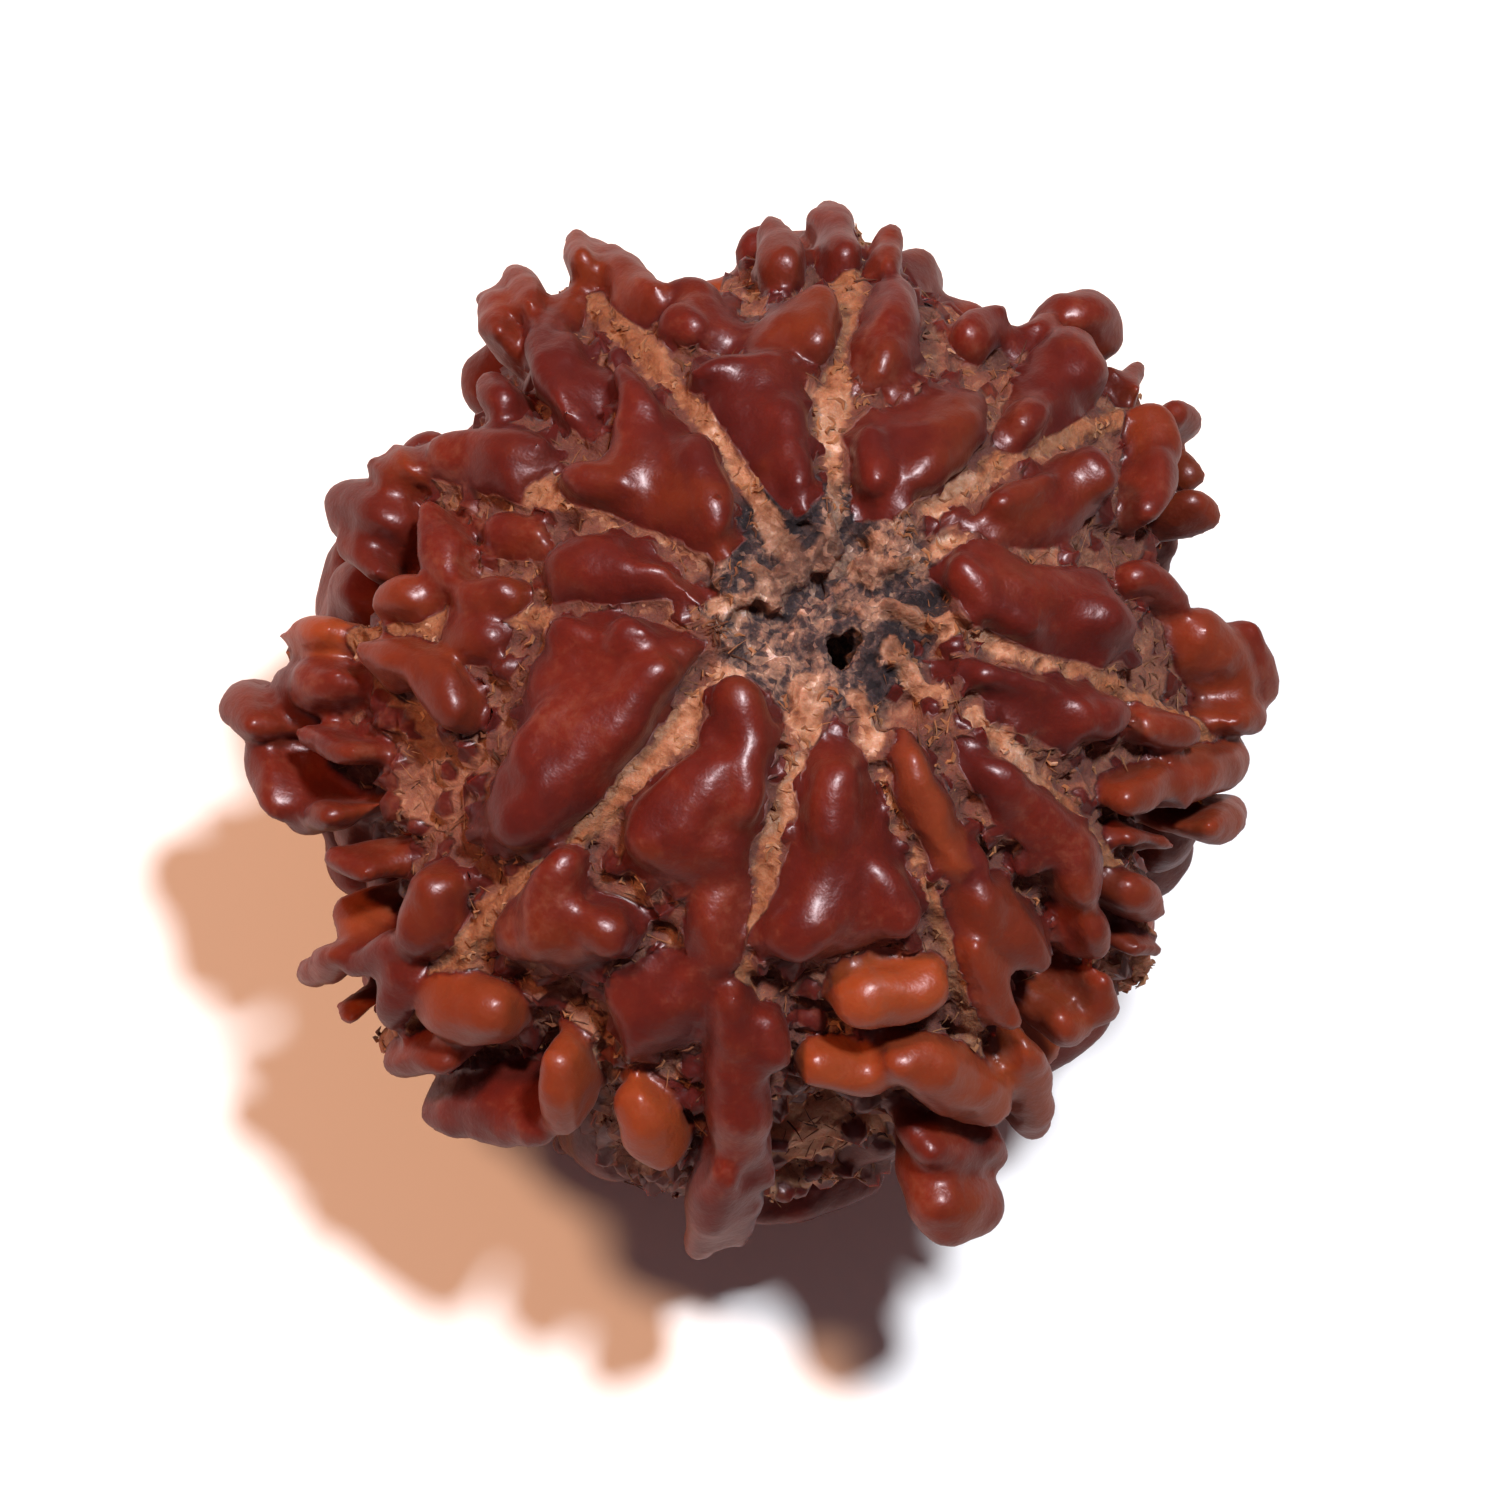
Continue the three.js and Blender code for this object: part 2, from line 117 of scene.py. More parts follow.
# broad masses between the seams: lift of the top above the outer form, width of the rounded edge (mm),
# tone (0 dark red to 1 orange) and the outline, picked in the photograph's pixels; the notes give the
# azimuths of the two seams
masses = [
    # 64 to 113
    (0, 0.9, 0.25, [(850, 432), (868, 410), (897, 408), (958, 383), (986, 400), (986, 438), (925, 488),
                    (890, 518), (862, 512)]),
    (0, 1, 0.3, [(1003, 432), (1038, 362), (1048, 338), (1068, 330), (1102, 385), (1086, 410),
                 (1020, 450)]),
    (0, 0.7, 0.25, [(862, 305), (894, 262), (911, 285), (914, 375), (892, 399), (854, 355)]),
    # 113 to 151
    (0, 0.9, 0.2, [(688, 370), (790, 343), (804, 362), (814, 470), (803, 508), (782, 502), (728, 430)]),
    (-0.3, 0.7, 0.3, [(660, 322), (690, 286), (746, 326), (742, 350), (668, 346)]),
    (0, 0.8, 0.45, [(748, 320), (805, 288), (832, 325), (820, 354), (755, 352)]),
    # 151 to 183
    (0.1, 1, 0.2, [(618, 352), (680, 430), (740, 536), (726, 550), (650, 522), (560, 497), (550, 478),
                   (602, 455), (617, 430), (610, 390)]),
    (-0.3, 0.8, 0.25, [(512, 332), (560, 320), (610, 372), (590, 442), (545, 408)]),
    (0, 0.8, 0.35, [(402, 447), (470, 420), (520, 424), (550, 446), (510, 491), (425, 472)]),
    # 183 to 207
    (0, 0.7, 0.3, [(542, 560), (568, 540), (610, 530), (714, 592), (690, 601), (553, 600)]),
    # 207 to 251
    (0, 1, 0.25, [(548, 642), (575, 620), (612, 614), (698, 650), (668, 694), (568, 804), (502, 862),
                  (478, 858), (464, 834), (505, 740)]),
    # 251 to 289
    (0.1, 1, 0.25, [(718, 708), (726, 682), (742, 678), (774, 712), (750, 830), (742, 892), (660, 896),
                    (622, 868), (632, 836), (676, 784)]),
    (-0.2, 0.7, 0.45, [(690, 886), (745, 884), (741, 976), (702, 986), (684, 940)]),
    (0.1, 0.9, 0.35, [(498, 938), (545, 870), (566, 856), (582, 905), (637, 936), (626, 967), (560, 987),
                      (500, 962)]),
    (-0.4, 0.7, 0.35, [(603, 1032), (598, 992), (690, 960), (727, 976), (692, 1046), (618, 1072)]),
    # 289 to 323
    (0.1, 1, 0.3, [(808, 757), (830, 744), (857, 756), (888, 830), (928, 925), (912, 946), (820, 972),
                   (763, 967), (756, 945), (801, 850)]),
    # 323 to 354
    (0, 0.6, 0.7, [(904, 734), (919, 748), (977, 870), (956, 886), (934, 872), (896, 755)]),
    (0, 0.7, 0.25, [(964, 744), (1022, 783), (1097, 838), (1108, 870), (1082, 882), (1013, 842),
                    (968, 777)]),
    (-0.1, 0.8, 0.55, [(944, 900), (970, 884), (1010, 888), (1062, 950), (1052, 987), (958, 937)]),
    # 354 to 15
    (0, 0.7, 0.3, [(953, 664), (1020, 670), (1098, 688), (1104, 720), (1072, 748), (1008, 722)]),
    # 15 to 64
    (0.1, 1, 0.2, [(943, 570), (970, 545), (1000, 540), (1032, 558), (1102, 568), (1148, 625), (1142, 657),
                   (1110, 668), (975, 618)]),
    (0, 0.9, 0.2, [(973, 523), (1040, 465), (1075, 449), (1107, 453), (1122, 490), (1080, 533),
                   (1000, 537)]),
]

# mounds of bare husk that fill the lower hollows: depth of the top under the outer form (mm), share of paler
# colour and outline in pixels; that colour is partly paler husk and partly painted light, most on the front
# slope, which lies in shade; the slope in front reaches past the outline, so its two steps are in azimuth and
# latitude
slope = [
    (1.9, 1, [(294, 14), (320, 14), (322, -10), (292, -10)]),
    (1.1, 1, [(294, -4), (320, -4), (322, -32), (292, -32)]),
]
mounds = [
    (1.5, 0.4, [(552, 1000), (600, 985), (640, 1060), (600, 1090), (570, 1060)]),
    (1.5, 0.1, [(400, 700), (440, 720), (470, 800), (430, 850), (395, 820), (385, 760)]),
]

# ridges on the masses: the two ends and their radii in the photograph's pixels, lift of the crest above
# the outer form (mm) and tone
ridges = [
    # 64 to 113
    (868, 445, 875, 480, 20, 18, 0.2, 0.25), (915, 475, 968, 430, 24, 22, 0.2, 0.25),
    (1027, 425, 1035, 415, 18, 18, 0.1, 0.3), (1068, 355, 1072, 375, 30, 30, 0.15, 0.3),
    (888, 300, 880, 375, 22, 22, 0.1, 0.25),
    # 113 to 151
    (790, 420, 795, 480, 22, 18, 0.15, 0.2), (700, 375, 775, 365, 14, 14, 0.1, 0.25),
    (676, 330, 690, 335, 18, 16, -0.1, 0.35), (690, 300, 700, 302, 20, 18, -0.2, 0.25),
    (815, 305, 812, 340, 20, 20, 0.1, 0.5),
    # 151 to 183
    (690, 465, 715, 525, 26, 20, 0.2, 0.2), (625, 370, 640, 440, 18, 22, 0.25, 0.25),
    (575, 482, 630, 490, 20, 22, 0.15, 0.25), (575, 352, 570, 370, 18, 18, -0.2, 0.3),
    (545, 340, 560, 410, 20, 20, -0.1, 0.3), (450, 450, 530, 450, 22, 22, 0.1, 0.4),
    # 183 to 207
    (560, 570, 660, 572, 20, 14, 0.1, 0.3),
    # 207 to 251
    (650, 688, 518, 820, 26, 38, 0.6, 0.25), (572, 705, 505, 800, 22, 30, 0.4, 0.25),
    (570, 637, 580, 642, 22, 22, 0.2, 0.3), (630, 650, 640, 654, 24, 24, 0.2, 0.25),
    # 251 to 289
    (700, 782, 664, 834, 28, 40, 0.45, 0.25), (744, 752, 737, 800, 24, 26, 0.35, 0.25),
    (734, 706, 740, 724, 20, 24, 0.15, 0.2), (562, 875, 550, 935, 22, 34, 0.25, 0.35),
    (600, 930, 608, 938, 26, 24, 0.15, 0.35),
    # 289 to 323
    (828, 800, 834, 835, 28, 30, 0.3, 0.3), (884, 895, 890, 915, 30, 28, 0.35, 0.3),
    (842, 865, 800, 935, 32, 32, 0.3, 0.3),
    # 323 to 354
    (915, 760, 940, 840, 14, 18, 0.1, 0.75), (985, 770, 1075, 860, 14, 26, 0.1, 0.25),
    (980, 905, 1030, 955, 24, 24, 0.05, 0.55),
    # 354 to 15
    (985, 678, 1045, 692, 13, 16, 0.15, 0.3), (1070, 712, 1075, 715, 24, 22, 0.1, 0.3),
    # 15 to 64
    (970, 585, 975, 588, 28, 26, 0.2, 0.2), (985, 606, 1035, 622, 14, 14, 0.15, 0.2),
    (1080, 618, 1095, 625, 36, 32, 0.2, 0.25), (1086, 474, 1090, 478, 26, 24, 0.3, 0.25),
    (1000, 505, 1040, 482, 14, 16, 0.15, 0.2),
]

# knobs beside and below the masses, in the same form
knobs = [
    # 64 to 113
    (1072, 318, 1090, 325, 32, 30, 0, 0.4), (970, 338, 993, 322, 20, 18, -0.2, 0.3),
    (1030, 330, 1045, 325, 16, 14, -0.3, 0.4), (888, 236, 884, 265, 15, 14, 0, 0.5),
    (1113, 372, 1120, 378, 15, 13, -0.2, 0.2), (1132, 368, 1137, 385, 15, 12, 0, 0.4),
    (1010, 350, 1035, 345, 22, 18, -0.6, 0.3),
    # 113 to 151
    (774, 232, 778, 262, 25, 23, 0, 0.5), (826, 218, 838, 250, 26, 20, 0, 0.4),
    # 151 to 183
    (490, 302, 495, 330, 18, 16, 0, 0.5), (514, 275, 530, 306, 13, 15, 0, 0.5),
    (578, 246, 582, 262, 20, 18, 0, 0.5), (602, 248, 648, 298, 18, 24, 0.1, 0.5),
    (488, 388, 498, 408, 15, 15, -0.2, 0.3), (580, 300, 560, 345, 18, 20, -0.4, 0.4),
    # 183 to 207
    (432, 520, 445, 575, 20, 22, 0, 0.3), (355, 510, 385, 527, 31, 29, 0, 0.4),
    (394, 446, 416, 470, 11, 11, 0, 0.6), (380, 470, 392, 482, 13, 13, 0, 0.5),
    (470, 598, 512, 600, 20, 15, -0.1, 0.4), (385, 605, 415, 602, 20, 19, 0, 0.6),
    (500, 535, 530, 545, 20, 18, -0.4, 0.2), (345, 545, 365, 575, 12, 12, -0.2, 0.4),
    # 207 to 251
    (370, 660, 420, 664, 21, 23, 0.1, 0.6), (420, 668, 455, 708, 23, 25, 0.1, 0.5),
    (475, 640, 495, 645, 28, 26, -0.4, 0.4), (285, 635, 325, 635, 16, 18, 0, 1),
    (295, 690, 335, 688, 28, 24, 0, 0.4), (240, 700, 250, 725, 20, 18, 0, 0.5),
    (262, 752, 275, 800, 24, 22, 0, 0.4), (310, 742, 350, 755, 17, 15, -0.1, 0.3),
    (275, 815, 330, 815, 14, 13, -0.1, 0.4), (337, 860, 365, 870, 13, 13, -0.1, 0.3),
    (435, 895, 415, 935, 30, 28, 0.1, 0.4), (395, 945, 352, 965, 18, 14, 0.1, 0.3),
    (345, 912, 358, 930, 20, 18, -0.6, 0.7), (312, 980, 335, 955, 16, 15, 0, 0.5),
    (340, 1010, 350, 1018, 11, 11, -0.1, 0.6), (402, 975, 385, 1018, 24, 18, 0, 0.3),
    # 251 to 289
    (460, 1010, 480, 1015, 38, 36, 0, 0.7), (555, 1070, 562, 1108, 22, 25, 0, 0.7),
    (400, 1060, 440, 1060, 20, 22, 0, 0.5), (440, 1110, 530, 1128, 30, 24, -0.1, 0.3),
    (640, 1110, 660, 1145, 29, 27, 0, 0.8),
    # 289 to 323
    (862, 1000, 915, 992, 30, 29, 0.1, 0.9), (730, 1015, 738, 1150, 24, 32, 0.1, 0.3),
    (722, 1185, 696, 1246, 26, 24, 0, 0.1), (737, 1190, 730, 1238, 22, 20, 0, 0.15),
    (763, 1035, 770, 1060, 18, 16, -0.1, 0.3), (820, 1072, 868, 1078, 22, 24, -0.35, 0.85),
    (905, 1065, 972, 1088, 24, 40, 0.1, 0.7), (930, 1152, 990, 1150, 20, 24, 0, 0.4),
    (945, 1205, 970, 1205, 34, 34, 0, 0.5),
    (755, 1160, 760, 1180, 20, 16, -0.1, 0.2),
    # 323 to 354
    (960, 855, 975, 870, 18, 15, -0.2, 0.1), (978, 955, 1005, 1020, 17, 19, 0.1, 0.6),
    (1025, 1050, 1030, 1120, 22, 18, 0, 0.7), (1060, 1015, 1075, 1025, 20, 18, -0.2, 0.6),
    (1078, 880, 1082, 890, 22, 20, 0, 0.45), (1084, 925, 1088, 945, 22, 20, 0, 0.4),
    (1098, 985, 1105, 1013, 16, 15, 0, 0.5), (1135, 950, 1155, 957, 13, 11, -0.1, 0.5),
    (1122, 893, 1150, 910, 20, 16, 0, 0.5),
    # 354 to 15
    (1097, 715, 1118, 718, 19, 17, 0, 0.3), (1150, 726, 1185, 735, 17, 15, 0, 0.5),
    (1130, 795, 1222, 758, 20, 28, 0, 0.6), (1206, 834, 1233, 808, 16, 16, 0, 0.6),
    (1130, 842, 1170, 850, 13, 10, -0.3, 0.5), (1170, 780, 1180, 800, 16, 14, -0.2, 0.4),
    # 15 to 64
    (1143, 435, 1148, 445, 29, 28, 0.1, 0.6), (1150, 472, 1150, 505, 27, 20, 0.1, 0.4),
    (1175, 420, 1188, 425, 21, 20, 0, 0.4), (1190, 468, 1193, 472, 11, 10, -0.2, 0.3),
    (1195, 500, 1207, 515, 13, 12, -0.1, 0.5), (1140, 580, 1175, 600, 18, 16, -0.4, 0.4),
    (1200, 645, 1225, 675, 36, 31, 0.1, 0.6), (1245, 645, 1258, 690, 23, 20, 0, 0.4),
    (1230, 715, 1255, 710, 16, 15, 0, 0.5),
]
knobGrow = 1.04      # the knobs were picked a little narrow

# knobs on the lower half, seen past the outline: azimuth and latitude of both ends (degrees), radii and
# lift (mm), tone
lowKnobs = [
    (299, -23, 318, -26, 0.45, 0.45, 0.25, 0.3),
    (276, -33, 281, -40, 0.45, 0.4, -0.3, 0.4),
]

# the hidden side: two rows of lobes beside each seam, from the listed ones down to the flat spot; angles in
# degrees, radius and lift in mm, and pairs are the least value and how much a draw adds to it
rows = {
    "listEnd": -1, "listEndSwing": 17, "step": 13, "lowest": -62,
    "offset": (4.5, 5), "latitude": 7, "halfLength": (3, 4), "lean": 6,
    "radius": (0.6, 0.4), "lift": (-0.25, 0.5),
    "firstSunk": 1.1, "sunkStep": 0.35,    # mm, so that the first rows stay under the listed lobes' outline
    "drawStep": 6,
}

# and columns of low lobes that fill the valley between one seam's row and the next
valley = {
    "edge": 9, "columnWidth": 9,
    "start": 0, "startSwing": 17, "step": 12,
    "stray": 7, "halfLength": (1, 4), "lean": 14,
    "radius": (0.5, 0.4), "lift": (0.25, 0.6),     # lift from the valley's floor
    "drawStep": 7, "seamDraws": 100,
}
lobeDraws = 7
jitterRate, jitterSize = 12.9898, 43758.5453


# a repeatable draw from 0 to 1 for each count
def jitter(count):
    wave = math.sin(count * jitterRate) * jitterSize
    return wave - math.floor(wave)


def drawsFrom(count):
    return [jitter(count + draw) for draw in range(lobeDraws)]


def spread(pair, draw):
    return pair[0] + pair[1] * draw


def leaningLobe(azimuth, latitude, half, lean, radius, lift, tone):
    upper = direction(azimuth - lean, latitude + half)
    lower = direction(azimuth + lean, latitude - half)
    return upper, lower, radius, radius, lift, tone


def rowLobes():
    made = []
    for seam in mainSeams:
        for side in (-1, 1):
            level = rows["listEnd"] + rows["listEndSwing"] * math.sin(math.radians(seam[1]))
            sunk = rows["firstSunk"]
            while level > rows["lowest"]:
                draws = drawsFrom(len(made) * rows["drawStep"] + 1)
                azimuth = seam[2] + side * spread(rows["offset"], draws[0])
                latitude = level + rows["latitude"] * (draws[1] - 0.5)
                half = spread(rows["halfLength"], draws[2])
                radius = spread(rows["radius"], draws[3])
                lean = rows["lean"] * (draws[4] - 0.5)
                lift = spread(rows["lift"], draws[5]) - sunk
                made.append(leaningLobe(azimuth, latitude, half, lean, radius, lift, draws[6]))
                level -= rows["step"]
                sunk = max(sunk - rows["sunkStep"], 0)
    return made


def valleyLobes():
    made = []
    for seam, following in zip(mainSeams, mainSeams[1:] + mainSeams[:1]):
        width = (following[2] - seam[2]) % 360 - 2 * valley["edge"]
        columns = round(width / valley["columnWidth"])
        for column in range(columns):
            middle = seam[2] + valley["edge"] + width * (column + 0.5) / columns
            level = valley["start"] + valley["startSwing"] * math.sin(math.radians(middle))
            while level > rows["lowest"]:
                draws = drawsFrom(seam[1] * valley["seamDraws"] + len(made) * valley["drawStep"])
                azimuth = middle + valley["stray"] * (draws[0] - 0.5)
                latitude = level + valley["stray"] * (draws[1] - 0.5)
                half = spread(valley["halfLength"], draws[2])
                lean = valley["lean"] * (draws[3] - 0.5)
                radius = spread(valley["radius"], draws[4])
                lift = spread(valley["lift"], draws[5])
                lift -= coreDepth(azimuth, math.cos(math.radians(latitude)) ** 2)
                made.append(leaningLobe(azimuth, latitude, half, lean, radius, lift, draws[6]))
                level -= valley["step"]
    return made


def direction(azimuth, latitude):
    azimuth, latitude = math.radians(azimuth), math.radians(latitude)
    return np.array((math.cos(latitude) * math.cos(azimuth), math.cos(latitude) * math.sin(azimuth),
                     math.sin(latitude)))


halfAxes = np.array(bead["halfAxes"])
centre = np.array((0, 0, bead["centreHeight"]))
focal = view["lens"] / view["sensor"] * view["frame"]      # pixels


def formPoint(unit, offset):
    return centre + (halfAxes + offset) * unit


def viewAxes():
    lift, roll = math.radians(view["elevation"]), math.radians(view["roll"])
    back = Vector((0, -math.cos(lift), math.sin(lift)))
    side = Vector((1, 0, 0))
    rise = back.cross(side)
    right = side * math.cos(roll) + rise * math.sin(roll)
    return right, back.cross(right), back


# where the line of sight through a pixel meets the outer form, as a unit direction, or None past the outline
def seenUnit(x, y, offset):
    right, up, back = viewAxes()
    sight = right * (x - view["middle"][0]) + up * (view["middle"][1] - y) - back * focal
    start = np.array(back) * view["distance"] / (halfAxes + offset)
    step = np.array(sight) / (halfAxes + offset)
    a, b, c = step @ step, start @ step, start @ start - 1
    if b * b < a * c:
        return None
    return start - step * (b + math.sqrt(b * b - a * c)) / a


# the same, on a form grown until the line of sight meets it
def nearestUnit(x, y, offset):
    unit = seenUnit(x, y, offset)
    return nearestUnit(x, y, offset + view["outlineStep"]) if unit is None else unit


def seenFinger(pick, grow):
    x1, y1, x2, y2, radius1, radius2, lift, tone = pick
    radius1, radius2 = (radius * grow * view["distance"] / focal for radius in (radius1, radius2))
    while True:
        unit1, unit2 = seenUnit(x1, y1, lift - radius1), seenUnit(x2, y2, lift - radius2)
        if unit1 is not None and unit2 is not None:
            return unit1, unit2, radius1, radius2, lift, tone
        lift += view["outlineStep"]      # a knob at the outline stands out further


def seamAzimuth(seam, latitude):
    return float(np.interp(-latitude, [-value for value in seamForm["latitudes"]], seam[:3]))


def smoothStep(low, high, values):
    share = np.clip((values - low) / (high - low), 0, 1)
    return share * share * (3 - 2 * share)


def coordinates(mesh):
    points = np.empty(len(mesh.vertices) * 3)
    mesh.vertices.foreach_get("co", points)
    return points.reshape(-1, 3)


# 0 along a seam and 1 halfway to the next one
def valleyShare(azimuths):
    shoulder = [seam[1] for seam in mainSeams]
    places = [shoulder[-1] - 360] + shoulder + [shoulder[0] + 360]
    share = np.interp(azimuths % 360, places, range(len(places)))
    return np.abs(np.sin(math.pi * share)) ** (2 * bead["valleyNarrowness"])


def coreDepth(azimuths, level):
    valleys = level ** 3 * bead["valleyDepth"] * valleyShare(azimuths)
    return bead["coreDepth"] + level * bead["ridgeDepth"] + valleys


def seenCorners(lift, outline):
    return np.array([formPoint(nearestUnit(x, y, lift - bead["pickDepth"]), lift) for x, y in outline])


# distance in from an outline, mm, negative outside it
def insideOutline(places, corners):
    middle = corners.mean(axis=0)
    normal = (middle - centre) / halfAxes ** 2
    normal /= np.linalg.norm(normal)
    side = np.cross(normal, (1, 0, 0))
    side /= np.linalg.norm(side)
    flat = np.stack([side, np.cross(normal, side)], axis=1)
    reach = np.linalg.norm(corners - middle, axis=1).max() + bead["outlineMargin"]
    near = np.flatnonzero(np.linalg.norm(places - middle, axis=1) < reach)
    spots = (places[near] - middle) @ flat
    ring = (corners - middle) @ flat
    distance = np.full(len(near), farAway)
    odd = np.zeros(len(near), bool)
    for first, last in zip(ring, np.roll(ring, -1, axis=0)):
        line = last - first
        away = spots - first
        share = np.clip(away @ line / (line @ line), 0, 1)
        distance = np.minimum(distance, np.linalg.norm(away - share[:, None] * line, axis=1))
        crosses = (first[1] > spots[:, 1]) != (last[1] > spots[:, 1])
        odd ^= crosses & (away[:, 0] < line[0] * away[:, 1] / (line[1] or 1e-9))
    inside = np.full(len(places), -farAway)
    inside[near] = np.where(odd, distance, -distance)
    return inside


# tops, share of paler husk and painted light, and corners of the mounds and of the slope in front
def heaps():
    made = [(top, paleAndLitShare, seenCorners(-top, outline)) for top, paleAndLitShare, outline in mounds]
    for top, paleAndLitShare, outline in slope:
        corners = [formPoint(direction(*place), -top) for place in outline]
        made.append((top, paleAndLitShare, np.array(corners)))
    return made


def cavityShare(azimuths):
    share = np.zeros(len(azimuths))
    for place, width in bead["cavities"]:
        away = np.abs((azimuths - place + 180) % 360 - 180)
        share = np.maximum(share, smoothStep(width, width * bead["cavityCore"], away))
    return share


# for unit directions: depth of the body under the outer form, cover by the masses, their tone and how far in
def massFields(units):
    azimuths = np.degrees(np.arctan2(units[:, 1], units[:, 0]))
    level = 1 - units[:, 2] ** 2
    core = coreDepth(azimuths, level)
    places = centre + halfAxes * units
    fromAxis = np.hypot(places[:, 0], places[:, 1])
    ring = bead["bossRadius"]
    deep = bead["bossMiddle"] + (bead["bossDepth"] - bead["bossMiddle"]) * cavityShare(azimuths)
    hollow = deep * smoothStep(ring[0], ring[1], fromAxis)
    hollow -= (deep - bead["bossMiddle"]) * smoothStep(ring[2], ring[3], fromAxis)
    core += hollow * (units[:, 2] > 0)
    for top, paleAndLitShare, corners in heaps():
        share = insideOutline(places, corners) + bead["massGrow"]
        core += np.minimum(top - core, 0) * smoothStep(0, bead["heapEdge"], share)
    depth = core.copy()
    cover = np.zeros(len(units))
    tone = np.zeros(len(units))
    within = np.full(len(units), -farAway)
    for lift, edge, massTone, outline in masses:
        inside = insideOutline(places, seenCorners(lift, outline)) + bead["massGrow"]
        share = np.clip(inside / (edge * bead["massEdge"]), 0, 1)
        depth = np.minimum(depth, core - (core + lift) * (1 - (1 - share) ** bead["massRoundness"]))
        here = smoothStep(*bead["skinEdge"], inside)
        tone += (massTone - tone) * here
        cover = np.maximum(cover, here)
        within = np.maximum(within, inside)
    return depth, cover, tone, within


def unitsOf(points):
    units = (points - centre) / halfAxes
    lengths = np.linalg.norm(units, axis=1)
    return units / lengths[:, None], lengths


def addCore(bm):
    floorLevel = -bead["centreHeight"] / bead["halfAxes"][2]
    bore = bead["channelRadius"] / bead["halfAxes"][0]
    low = math.asin(floorLevel)
    high = math.acos(bore)
    levels = np.linspace(low, high, bead["levels"])
    outline = [(bore, floorLevel), (math.cos(low) / 2, floorLevel)]
    outline += [(math.cos(level), math.sin(level)) for level in levels]
    down = np.linspace(bead["boreTop"], floorLevel, bead["boreLevels"], endpoint=False)
    outline += [(bore, level) for level in down]
    verts = [bm.verts.new((r, 0, z)) for r, z in outline]
    edges = [bm.edges.new(pair) for pair in zip(verts, verts[1:] + verts[:1])]
    bmesh.ops.spin(bm, geom=verts + edges, cent=(0, 0, 0), axis=(0, 0, 1), angle=2 * math.pi,
                   steps=bead["turns"], use_merge=True)
    bmesh.ops.recalc_face_normals(bm, faces=bm.faces)
    points = np.array([vert.co for vert in bm.verts])
    outside = np.linalg.norm(points, axis=1) > 0.999
    units = points / np.linalg.norm(points, axis=1)[:, None]
    normals = units / halfAxes
    normals /= np.linalg.norm(normals, axis=1)[:, None]
    sunk = normals * massFields(units)[0][:, None]
    moved = centre + points * halfAxes - np.where(outside[:, None], sunk, 0)
    # the channel leans, so its upper mouth opens beside the axis
    lean = np.clip((moved[:, 2] - bead["leanStart"]) / bead["leanHeight"], 0, 1)
    lean *= np.hypot(moved[:, 0], moved[:, 1]) < bead["leanReach"]
    moved[:, 0] += lean * bead["channelMouth"][0]
    moved[:, 1] += lean * bead["channelMouth"][1]
    moved[:, 2] = np.maximum(moved[:, 2], 0)
    for vert, point in zip(bm.verts, moved):
        vert.co = point


# a finger is a ball drawn out along a line under the outer form, with a root that reaches into the core
fingers = {
    "rootReach": 2.2,                    # mm from the middle line down to the end of the root
    "bluntness": 0.17, "leastEnd": 0.02,
    "lobeDetail": 3, "seamDetail": 2,    # subdivisions of the ball
}


def fingerFrame(row):
    unit1, unit2, radius1, radius2, lift = row[:5]
    end1, end2 = formPoint(unit1, lift - radius1), formPoint(unit2, lift - radius2)
    normal = (unit1 + unit2) / halfAxes
    normal /= np.linalg.norm(normal)
    along = end2 - end1
    along -= normal * along.dot(normal)
    along /= max(np.linalg.norm(along), 1e-6)
    return end1, end2, radius1, radius2, along, np.cross(normal, along), normal


def meshFrom(bm, name):
    mesh = bpy.data.meshes.new(name)
    bm.to_mesh(mesh)
    bm.free()
    return mesh


def placed(name, data):
    holder = bpy.data.objects.new(name, data)
    bpy.context.scene.collection.objects.link(holder)
    return holder


def ballMesh(detail):
    bm = bmesh.new()
    bmesh.ops.create_icosphere(bm, subdivisions=detail, radius=1)
    return meshFrom(bm, "ball")


def addFinger(bm, ball, row):
    end1, end2, radius1, radius2, along, across, normal = fingerFrame(row)
    x, y, z = coordinates(ball).T
    share = (x + 1) / 2
    radius = radius1 + (radius2 - radius1) * share
    blunt = np.maximum(1 - x * x, fingers["leastEnd"]) ** -fingers["bluntness"]
    rise = z * np.where(z > 0, radius, fingers["rootReach"]) * blunt
    places = end1 + np.outer(share, end2 - end1) + np.outer(x * radius, along)
    places += np.outer(y * radius * blunt, across) + np.outer(rise, normal)
    copy = ball.copy()
    copy.vertices.foreach_set("co", places.ravel())
    bm.from_mesh(copy)
    bpy.data.meshes.remove(copy)


def seamRows():
    made = []
    for seam in seams:
        latitude, last, radius = seam[3:]
        while latitude > last:
            lower = latitude - seamForm["step"]
            made.append((direction(seamAzimuth(seam, latitude), latitude),
                         direction(seamAzimuth(seam, lower), lower), radius, radius, seamForm["lift"]))
            latitude = lower
    return made


allLobes = [seenFinger(pick, 1) for pick in ridges] + [seenFinger(pick, knobGrow) for pick in knobs]
allLobes += [(direction(*row[:2]), direction(*row[2:4]), *row[4:]) for row in lowKnobs]
allLobes += rowLobes() + valleyLobes()
allSeams = seamRows()


# slow sideways wandering, nothing at the flat spot
def bendOf(points):
    shift = np.zeros_like(points)
    for scale, amount in bead["bends"]:
        shift += amount * np.array([noise.noise_vector(Vector(point) * scale) for point in points])
    return shift * smoothStep(0.0, bead["bendHeight"], points[:, 2])[:, None]


# the mesh that an object's modifiers make of it
def applied(holder):
    made = bpy.data.meshes.new_from_object(holder.evaluated_get(bpy.context.evaluated_depsgraph_get()))
    bpy.data.objects.remove(holder)
    return made


